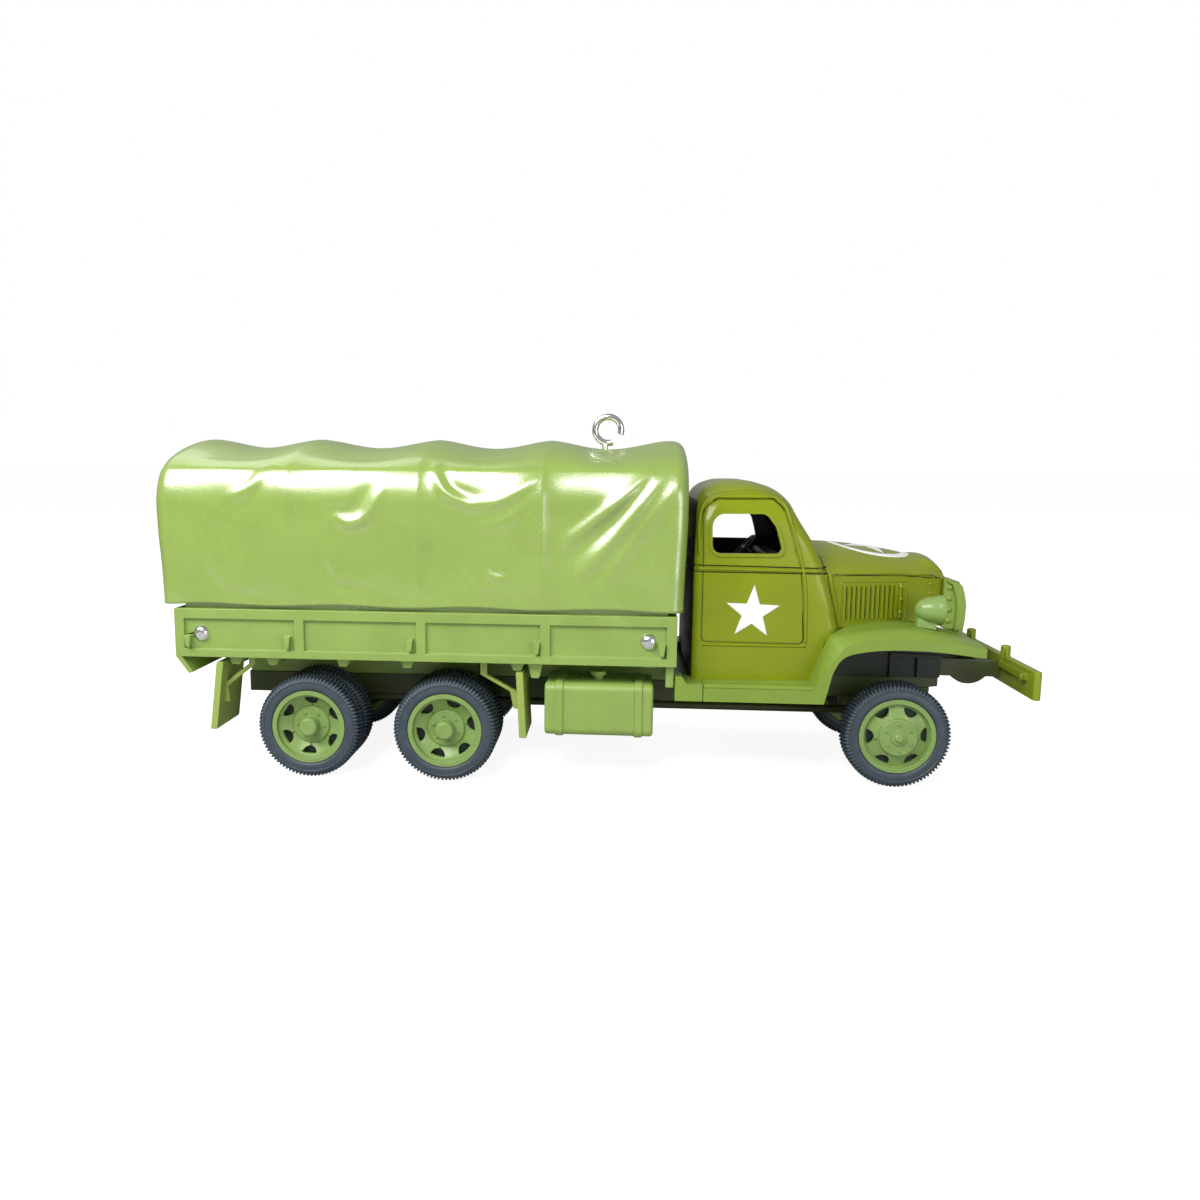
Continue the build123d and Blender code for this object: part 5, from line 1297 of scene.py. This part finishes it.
def lay_on(piece: bpy.types.Object, carrier: bpy.types.Object, axis: str, negative: bool,
           lift: float) -> bpy.types.Mesh:
    """Projects a flat piece on its carrier along one axis and keeps the result.

    Args:
        piece: the flat piece.
        carrier: what it is laid on.
        axis: X, Y or Z.
        negative: whether it moves against the axis.
        lift: how far it stays above the carrier.

    Returns:
        The piece's new mesh.
    """
    wrap = piece.modifiers.new("lay", "SHRINKWRAP")
    wrap.target = carrier
    wrap.wrap_method = "PROJECT"
    wrap.use_project_x = axis == "X"
    wrap.use_project_y = axis == "Y"
    wrap.use_project_z = axis == "Z"
    wrap.use_negative_direction = negative
    wrap.use_positive_direction = not negative
    wrap.wrap_mode = "ABOVE_SURFACE"
    wrap.offset = lift
    bpy.context.view_layer.update()
    laid = bpy.data.meshes.new_from_object(
        piece.evaluated_get(bpy.context.evaluated_depsgraph_get()))
    piece.modifiers.clear()
    piece.data = laid
    return laid


@dataclass
class GuardSides:
    """The guard's closed sides: a rounded front band and a plate behind it with four bosses.

    Attributes:
        band: (x, z) outline of the front band in millimetres.
        web: (x, z) outline of the plate behind it.
    """

    band: tuple = ((93.9, 50.75), (94.9, 50.3), (95.7, 49.5), (96.3, 47.8), (96.8, 45.6),
                   (96.9, 43.4), (96.8, 40.6), (96.45, 37.95), (94.3, 37.95), (94.6, 43.0),
                   (94.3, 46.5), (93.3, 49.6))
    web: tuple = ((91.3, 50.9), (92.0, 51.2), (94.1, 50.6), (94.5, 46.0), (94.7, 42.0),
                  (94.4, 38.1), (92.0, 38.1), (91.3, 39.0))

    def build(self) -> None:
        """Builds both sides as plates and sets the bosses in them."""
        shells = []
        for side in Side:
            shells += [cross_plate(np.array(self.band), 11.6, 14.08, side),
                       cross_plate(np.array(self.web), 12.0, 13.3, side)]
        piece = add_mesh("guard_sides", *join_shells(shells), smooth_angle=50.0)
        soften(piece, 0.35 * MM)
        dress(piece, WING_PLASTIC, "truck", "wing_green")
        bosses = tuple((92.8, 13.3, z) for z in (49.0, 46.2, 43.3, 40.4))
        Studs("guard_bosses", bosses, 0.75, WING_PLASTIC, "wing_green").build()


@dataclass
class Studs:
    """Small round bolt heads set in a surface that faces sideways.

    Attributes:
        name: the piece's name.
        places: (x, y, z) of each head on the right side, in millimetres.
        radius: radius of a head in millimetres.
        finish: the heads' finish.
        slot: the record's material slot.
        steps: points round a head.
    """

    name: str
    places: tuple
    radius: float
    finish: Finish
    slot: str = "cab_green"
    steps: int = 16

    def build(self) -> None:
        """Each head is a low dome turned about Y, on both sides of the truck."""
        r = np.array([0.0, 0.45, 0.8, 1.0, 1.0])[:, None] * self.radius
        out = np.array([0.55, 0.5, 0.32, 0.0, -0.5])[:, None] * self.radius
        angle = np.arange(self.steps) / self.steps * 2 * math.pi
        shells = []
        for x, y, z in self.places:
            for side in Side:
                points = np.stack([x + r * np.cos(angle),
                                   np.broadcast_to(side.value * (y + out), (5, self.steps)),
                                   z + r * np.sin(angle)], axis=-1) * MM
                back = np.broadcast_to(points[-1:].mean(1, keepdims=True), points[:1].shape)
                points = np.concatenate([points, back])
                shells.append((points, grid_faces(6, self.steps, False, True)))
        piece = add_mesh(self.name, *join_shells(shells), smooth_angle=50.0)
        dress(piece, self.finish, "truck", self.slot)


# ---------------------------------------------------------------- painted markings


@dataclass
class Star:
    """A five-pointed star laid on a surface as thin paint.

    Attributes:
        name: the piece's name.
        centre: the star's middle, seen along its direction.
        reach: from its middle to its points.
        waist: from its middle to its inner corners.
        turn: turn of the star in degrees.
        rings: rows of faces from the middle to the outline.
    """

    name: str
    centre: tuple[float, float]
    reach: float
    waist: float
    turn: float = 0.0
    rings: int = 10

    def outline(self) -> np.ndarray:
        """Ten corners, alternately at the reach and the waist."""
        angle = math.radians(90 + self.turn) + np.arange(10) * math.pi / 5
        radius = np.where(np.arange(10) % 2 == 0, self.reach, self.waist)
        return np.stack([radius * np.cos(angle), radius * np.sin(angle)], axis=1)

    def sheet(self, steps: int = 8) -> Shell:
        """A flat fan grid: the outline, finely divided, shrunk towards the middle."""
        corners = self.outline()
        following = np.roll(corners, -1, axis=0)
        t = np.arange(steps)[None, :, None] / steps
        edge = (corners[:, None] * (1 - t) + following[:, None] * t).reshape(-1, 2)
        share = np.linspace(0.0, 1.0, self.rings + 1)[:, None, None]
        flat = np.array(self.centre) + edge[None] * share
        return flat, grid_faces(self.rings + 1, len(edge), False, True)


@dataclass
class Ring:
    """A painted ring: a band between two radii.

    Attributes:
        name: the piece's name.
        centre: the ring's middle.
        inner: inner radius.
        outer: outer radius.
    """

    name: str
    centre: tuple[float, float]
    inner: float
    outer: float

    def sheet(self, steps: int = 96) -> Shell:
        """A flat annulus of a few rows."""
        angle = np.arange(steps) / steps * 2 * math.pi
        radius = np.linspace(self.inner, self.outer, 4)[:, None]
        flat = np.stack([self.centre[0] + radius * np.cos(angle),
                         self.centre[1] + radius * np.sin(angle)], axis=-1)
        return flat, grid_faces(4, steps, False, True)


@dataclass
class Markings:
    """White stars on the doors and a ringed star on the bonnet, laid on the cab's surface.

    Attributes:
        lift: how far the paint stays above the surface.
        thickness: thickness of the paint.
    """

    lift: float = 0.035 * MM
    thickness: float = 0.02 * MM

    def build(self, cab: bpy.types.Object) -> None:
        """Lays each marking against the cab along its own direction."""
        star = Star("door_star", (41.35 * MM, 43.6 * MM), 6.95 * MM, 2.75 * MM, turn=-2.5)
        flat, faces = star.sheet()
        for side in Side:
            self._lay(f"{star.name}_{side.label}", beside(flat, side), faces, cab, "Y",
                      side is Side.LEFT)
        middle = (74.4 * MM, 0.0)
        for marking in (Ring("bonnet_ring", middle, 8.7 * MM, 10.9 * MM),
                        Star("bonnet_star", middle, 8.5 * MM, 3.3 * MM, turn=-90)):
            flat, faces = marking.sheet()
            above = np.concatenate([flat, np.full((*flat.shape[:2], 1), 70 * MM)], axis=-1)
            self._lay(marking.name, above, faces, cab, "Z", True)

    def _lay(self, name: str, points: np.ndarray, faces: np.ndarray, cab: bpy.types.Object,
             axis: str, negative: bool) -> None:
        """Projects a flat sheet on the cab, lifts it a hair and gives it a thickness."""
        piece = add_mesh(name, points, faces, 60.0)
        lay_on(piece, cab, axis, negative, self.lift)
        thicken(piece, self.thickness)
        dress(piece, STAR_PAINT, "truck", "cab_green")


# ---------------------------------------------------------------- studio


@dataclass
class Studio:
    """Camera, lamps, floor and backdrop.

    Attributes:
        frame_width: width of the frame in its own pixels.
        focal: focal length in the same pixels.
        lens_centre_x: where the lens's axis meets the frame.
        sensor: width of the camera's sensor in millimetres.
        position: the camera's place.
        yaw, pitch, roll: its turns in degrees.
        floor_size: half the floor's width.
        floor_albedo: how much light the floor returns.
        floor_glow: how bright the floor is to the camera by itself.
        world_fill: strength of the light from all round.
        world_gloss: how much of the white surroundings shows in reflections.
    """

    frame_width: float = 1200.0
    focal: float = 1004.637
    lens_centre_x: float = 540.0
    sensor: float = 36.0
    position: Point = (9.39 * MM, -276.65 * MM, 80.97 * MM)
    yaw: float = 4.781
    pitch: float = 7.976
    roll: float = 0.334
    floor_size: float = 6.0
    floor_albedo: float = 0.50
    floor_glow: float = 0.90
    world_fill: float = 0.18
    world_gloss: float = 0.22

    def build(self) -> None:
        """Sets the scene up round the truck."""
        self._camera()
        self._floor()
        self._world()
        self._lamp("top_softbox", (-0.22, -0.33, 0.40), (-0.01, 0.0, 0.06), (0.50, 0.22), 3.6)
        self._lamp("front_fill", (0.34, -0.42, 0.10), (0.08, 0.0, 0.03), (0.25, 0.25), 0.75)
        self._lamp("rear_fill", (-0.35, 0.35, 0.62), (0.0, 0.0, 0.05), (0.40, 0.40), 0.6)
        bpy.context.scene.view_settings.view_transform = "Standard"

    @staticmethod
    def _stand(data: bpy.types.ID, right: np.ndarray, above: np.ndarray, ahead: np.ndarray,
               place: Point) -> bpy.types.Object:
        """Stands a camera or a lamp at a place, looking ahead."""
        thing = bpy.data.objects.new(data.name, data)
        bpy.context.scene.collection.objects.link(thing)
        matrix = np.eye(4)
        matrix[:3] = np.stack([right, above, -ahead, place], axis=1)
        thing.matrix_world = Matrix(matrix.tolist())
        return thing

    def _camera(self) -> None:
        """A camera from the lens's focal length and centre, aimed by yaw, pitch and roll."""
        data = bpy.data.cameras.new("view")
        data.sensor_width = self.sensor
        data.lens = self.focal / self.frame_width * self.sensor
        data.shift_x = (self.frame_width / 2 - self.lens_centre_x) / self.frame_width
        data.clip_start = 0.01
        yaw, pitch, roll = (math.radians(a) for a in (self.yaw, self.pitch, self.roll))
        ahead = np.array([-math.sin(yaw) * math.cos(pitch), math.cos(yaw) * math.cos(pitch),
                          -math.sin(pitch)])
        right = np.array([math.cos(yaw), math.sin(yaw), 0.0])
        above = np.cross(right, ahead)
        right_r = math.cos(roll) * right + math.sin(roll) * above
        above_r = -math.sin(roll) * right + math.cos(roll) * above
        bpy.context.scene.camera = self._stand(data, right_r, above_r, ahead, self.position)

    def _floor(self) -> None:
        """A wide pale floor that keeps the truck's shadow and stays light to the camera."""
        corners = np.array([(-1, -1, 0), (1, -1, 0), (1, 1, 0), (-1, 1, 0)]) * self.floor_size
        floor = add_mesh("floor", corners, [[0, 1, 2, 3]], None)
        material = bpy.data.materials.new("floor_white")
        material.use_nodes = True
        tree = material.node_tree
        tree.nodes.clear()
        output = add_node(tree, "OutputMaterial")
        both = add_node(tree, "AddShader")
        diffuse = add_node(tree, "BsdfDiffuse", {"Color": (*[self.floor_albedo] * 3, 1)})
        glow = add_node(tree, "Emission", {"Color": WHITE})
        path = add_node(tree, "LightPath")
        seen = add_node(tree, "Math", {1: self.floor_glow}, "MULTIPLY")
        link(tree, (path, "Is Camera Ray", seen, 0), (seen, "Value", glow, "Strength"),
             (diffuse, "BSDF", both, 0), (glow, "Emission", both, 1),
             (both, "Shader", output, "Surface"))
        floor.data.materials.append(material)

    def _world(self) -> None:
        """White to the camera, partly so in reflections, and a plain soft fill for the rest."""
        world = bpy.data.worlds.new("studio")
        bpy.context.scene.world = world
        world.use_nodes = True
        tree = world.node_tree
        tree.nodes.clear()
        output = add_node(tree, "OutputWorld")
        mix = add_node(tree, "MixShader")
        fill = add_node(tree, "Background", {"Color": WHITE, "Strength": self.world_fill})
        white = add_node(tree, "Background", {"Color": WHITE})
        path = add_node(tree, "LightPath")
        either = add_node(tree, "Math", operation="MAXIMUM")
        partly = add_node(tree, "Math", {1: self.world_gloss}, "MULTIPLY")
        seen = add_node(tree, "Math", operation="MAXIMUM")
        link(tree, (path, "Is Camera Ray", either, 0), (path, "Is Transmission Ray", either, 1),
             (path, "Is Glossy Ray", partly, 0), (either, "Value", seen, 0),
             (partly, "Value", seen, 1), (seen, "Value", mix, "Fac"),
             (fill, "Background", mix, 1), (white, "Background", mix, 2),
             (mix, "Shader", output, "Surface"))

    def _lamp(self, name: str, place: Point, aim: Point, size: tuple[float, float],
              power: float) -> None:
        """A rectangular soft lamp at a place, facing its aim."""
        data = bpy.data.lights.new(name, "AREA")
        data.shape = "RECTANGLE"
        data.size, data.size_y = size
        data.energy = power
        ahead = np.array(aim) - np.array(place)
        ahead = ahead / np.linalg.norm(ahead)
        right = np.cross(ahead, (0, 0, 1))
        right = right / np.linalg.norm(right)
        self._stand(data, right, np.cross(right, ahead), ahead, place)


# ---------------------------------------------------------------- the truck


@dataclass
class Truck:
    """All the truck's pieces, in the order in which they are made.

    Attributes:
        frame: the loaded frame.
        axles: the axles' names, from the front.
    """

    frame: dict
    axles: tuple[str, ...] = ("front", "middle", "rear")

    def _moulded(self) -> list[MouldedPiece]:
        """Lists the rigid nodes with their finishes."""
        # Node, finish, slot and rounding of the edges in millimetres.
        rows = [
            ("brush_guard", WING_PLASTIC, "wing_green", 0.18),
            ("chassis_frame", CHASSIS_PAINT, "chassis_green", 0.25),
            ("driveline", CHASSIS_PAINT, "chassis_green", 0.18),
            ("leaf_springs_front", CHASSIS_PAINT, "chassis_green", 0.18),
            ("leaf_springs_rear", CHASSIS_PAINT, "chassis_green", 0.18),
            ("front_bumper", BUMPER_PAINT, "chassis_green", 0.2),
            ("cargo_body", BODY_PLASTIC, "body_green", 0.2),
            ("cab_interior", CAB_BLACK, "black_plastic", 0.4),
            ("steering_wheel", CAB_BLACK, "black_plastic", 0.0),
            ("eye_screw", BRIGHT_STEEL, "steel", 0.0),
            ("body_screws", BRIGHT_STEEL, "steel", 0.0),
        ]
        for side in Side:
            rows += [
                (f"headlamp_{side.label}", LAMP_PLASTIC, "wing_green", 0.0),
                (f"fuel_tank_{side.label}", BODY_PLASTIC, "body_green", 0.18),
                (f"mudflap_front_{side.label}", FLAP_PLASTIC, "cover_green", 0.18),
                (f"mudflap_rear_{side.label}", FLAP_PLASTIC, "cover_green", 0.18),
            ]
        pieces = [MouldedPiece(node, finish, slot, edge=edge * MM)
                  for node, finish, slot, edge in rows]
        for axle in self.axles:
            spin = f"{axle}_wheels"
            pieces += [
                MouldedPiece(f"axle_housing_{axle}", CHASSIS_PAINT, "chassis_green"),
                MouldedPiece(f"axle_pin_{axle}", BRIGHT_STEEL, "steel", spin, 0.0),
                MouldedPiece(f"wheel_{axle}_right", WHEEL_PLASTIC, "wheel_green", spin, 0.12 * MM),
                MouldedPiece(f"wheel_{axle}_left", WHEEL_PLASTIC, "wheel_green", spin, 0.12 * MM),
            ]
        return pieces

    def build(self) -> None:
        """Makes every piece."""
        cab = SmoothCab("cab_and_bonnet", CAB_PAINT, "cab_green", edge=0.0, smooth_angle=40.0,
                        lining_and_back_shade=CAB_BLACK).build(self.frame)
        for piece in self._moulded():
            piece.build(self.frame)
        wheels = [(axle, side) for axle in self.axles for side in Side]
        for axle, side in wheels:
            Tyre(f"tyre_{axle}_{side.label}", f"{axle}_wheels",
                 1 if axle == "front" else 2).build()
        for axle, side in wheels:
            WheelBack(f"wheel_{axle}_{side.label}", f"{axle}_wheels").build()
        Wings().build()
        GuardSides().build()
        CanvasCover().build()
        Markings().build(cab)
        self._fittings(cab)

    @staticmethod
    def _fittings(cab: bpy.types.Object) -> None:
        """Seam lines and louvre gaps in painted shade, ribs, bolts and the louvre panel's edge on
        the cab, in millimetres.
        """
        flat, rib = (0.02, 0.02), (0.0, 0.2, 0.28, 0.2, 0.0)
        seams = (((26.9, 53.72), (40.0, 53.6), (59.3, 53.32)),
                 ((26.9, 55.32), (40.0, 55.1), (59.3, 54.62)),
                 ((59.5, 53.3), (66.0, 52.75), (69.85, 52.62), (82.85, 52.02), (89.6, 51.3)),
                 ((59.0, 57.4), (59.4, 53.5), (60.2, 50.2), (63.0, 39.6)))
        door = ((29.0, 37.4), (29.2, 36.6), (30.0, 36.4), (53.0, 36.0), (53.9, 36.4),
                (54.1, 37.2), (52.9, 54.0), (49.3, 66.6), (48.4, 69.2), (46.9, 70.8),
                (45.6, 71.3), (33.2, 71.4), (31.2, 71.0), (29.6, 70.0), (29.0, 68.2))
        pillar = tuple(map(tuple, smooth_path(((54.7, 36.2), (53.75, 53.0), (50.6, 65.2),
                                               (48.6, 70.9), (44.6, 72.7), (34.0, 72.8),
                                               (29.6, 71.4), (27.9, 67.5), (27.9, 58.0)), 60)))
        sill = ((29.2, 35.5), (54.7, 35.3))
        belt = ((27.4, 54.55), (40.0, 54.3), (58.4, 54.0))
        cowl = ((59.9, 57.0), (60.3, 53.5), (61.1, 50.2), (63.9, 39.6))
        count, rear, length = 11, 64.25, 14.0
        places = [rear + length / 2 / count + i * (length / count) for i in range(count)]
        gaps = tuple(((x, 41.6), (x, 50.0)) for x in places)
        louvre_edge = ((63.4, 41.0), (63.4, 51.2), (81.3, 50.8), (81.3, 41.0))
        for strip in (
            # The seam and louvre-gap strips are painted shade: dark bands laid in the grooves,
            # where shadow falls.
            Strip("panel_seam_shade", seams, 0.30, flat, SEAM_SHADE),
            Strip("door_seam_shade", (door,), 0.30, flat, SEAM_SHADE, closed=True),
            Strip("pillar_rib", (pillar,), 0.8, rib, CAB_PAINT),
            Strip("sill_rib", (sill,), 0.7, rib, CAB_PAINT),
            Strip("belt_rib", (belt,), 0.8, rib, CAB_PAINT),
            Strip("cowl_rib", (cowl,), 0.8, rib, CAB_PAINT),
            Strip("louvre_gap_shade", gaps, 0.30, (0.015, 0.015), SEAM_SHADE),
            Strip("louvre_frame", (louvre_edge,), 0.4, (0.0, 0.16, 0.0), CAB_PAINT),
            Strip("louvre_bolt_strip", (((79.6, 41.3), (79.6, 50.4)),), 1.1,
                  (0.0, 0.3, 0.3, 0.0), CAB_PAINT),
        ):
            strip.build(cab)
        bolts = tuple((79.6, 17.15, z) for z in (49.4, 46.3, 42.9))
        nose = tuple((87.7, 13.5, z) for z in (49.9, 47.5))
        Studs("bonnet_bolts", bolts + nose, 0.5, CAB_PAINT).build()


def main() -> None:
    """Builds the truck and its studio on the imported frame."""
    logging.basicConfig(level=logging.INFO, format="%(message)s")
    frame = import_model()
    Studio().build()
    Truck(frame).build()


if __name__ == "__main__":
    main()
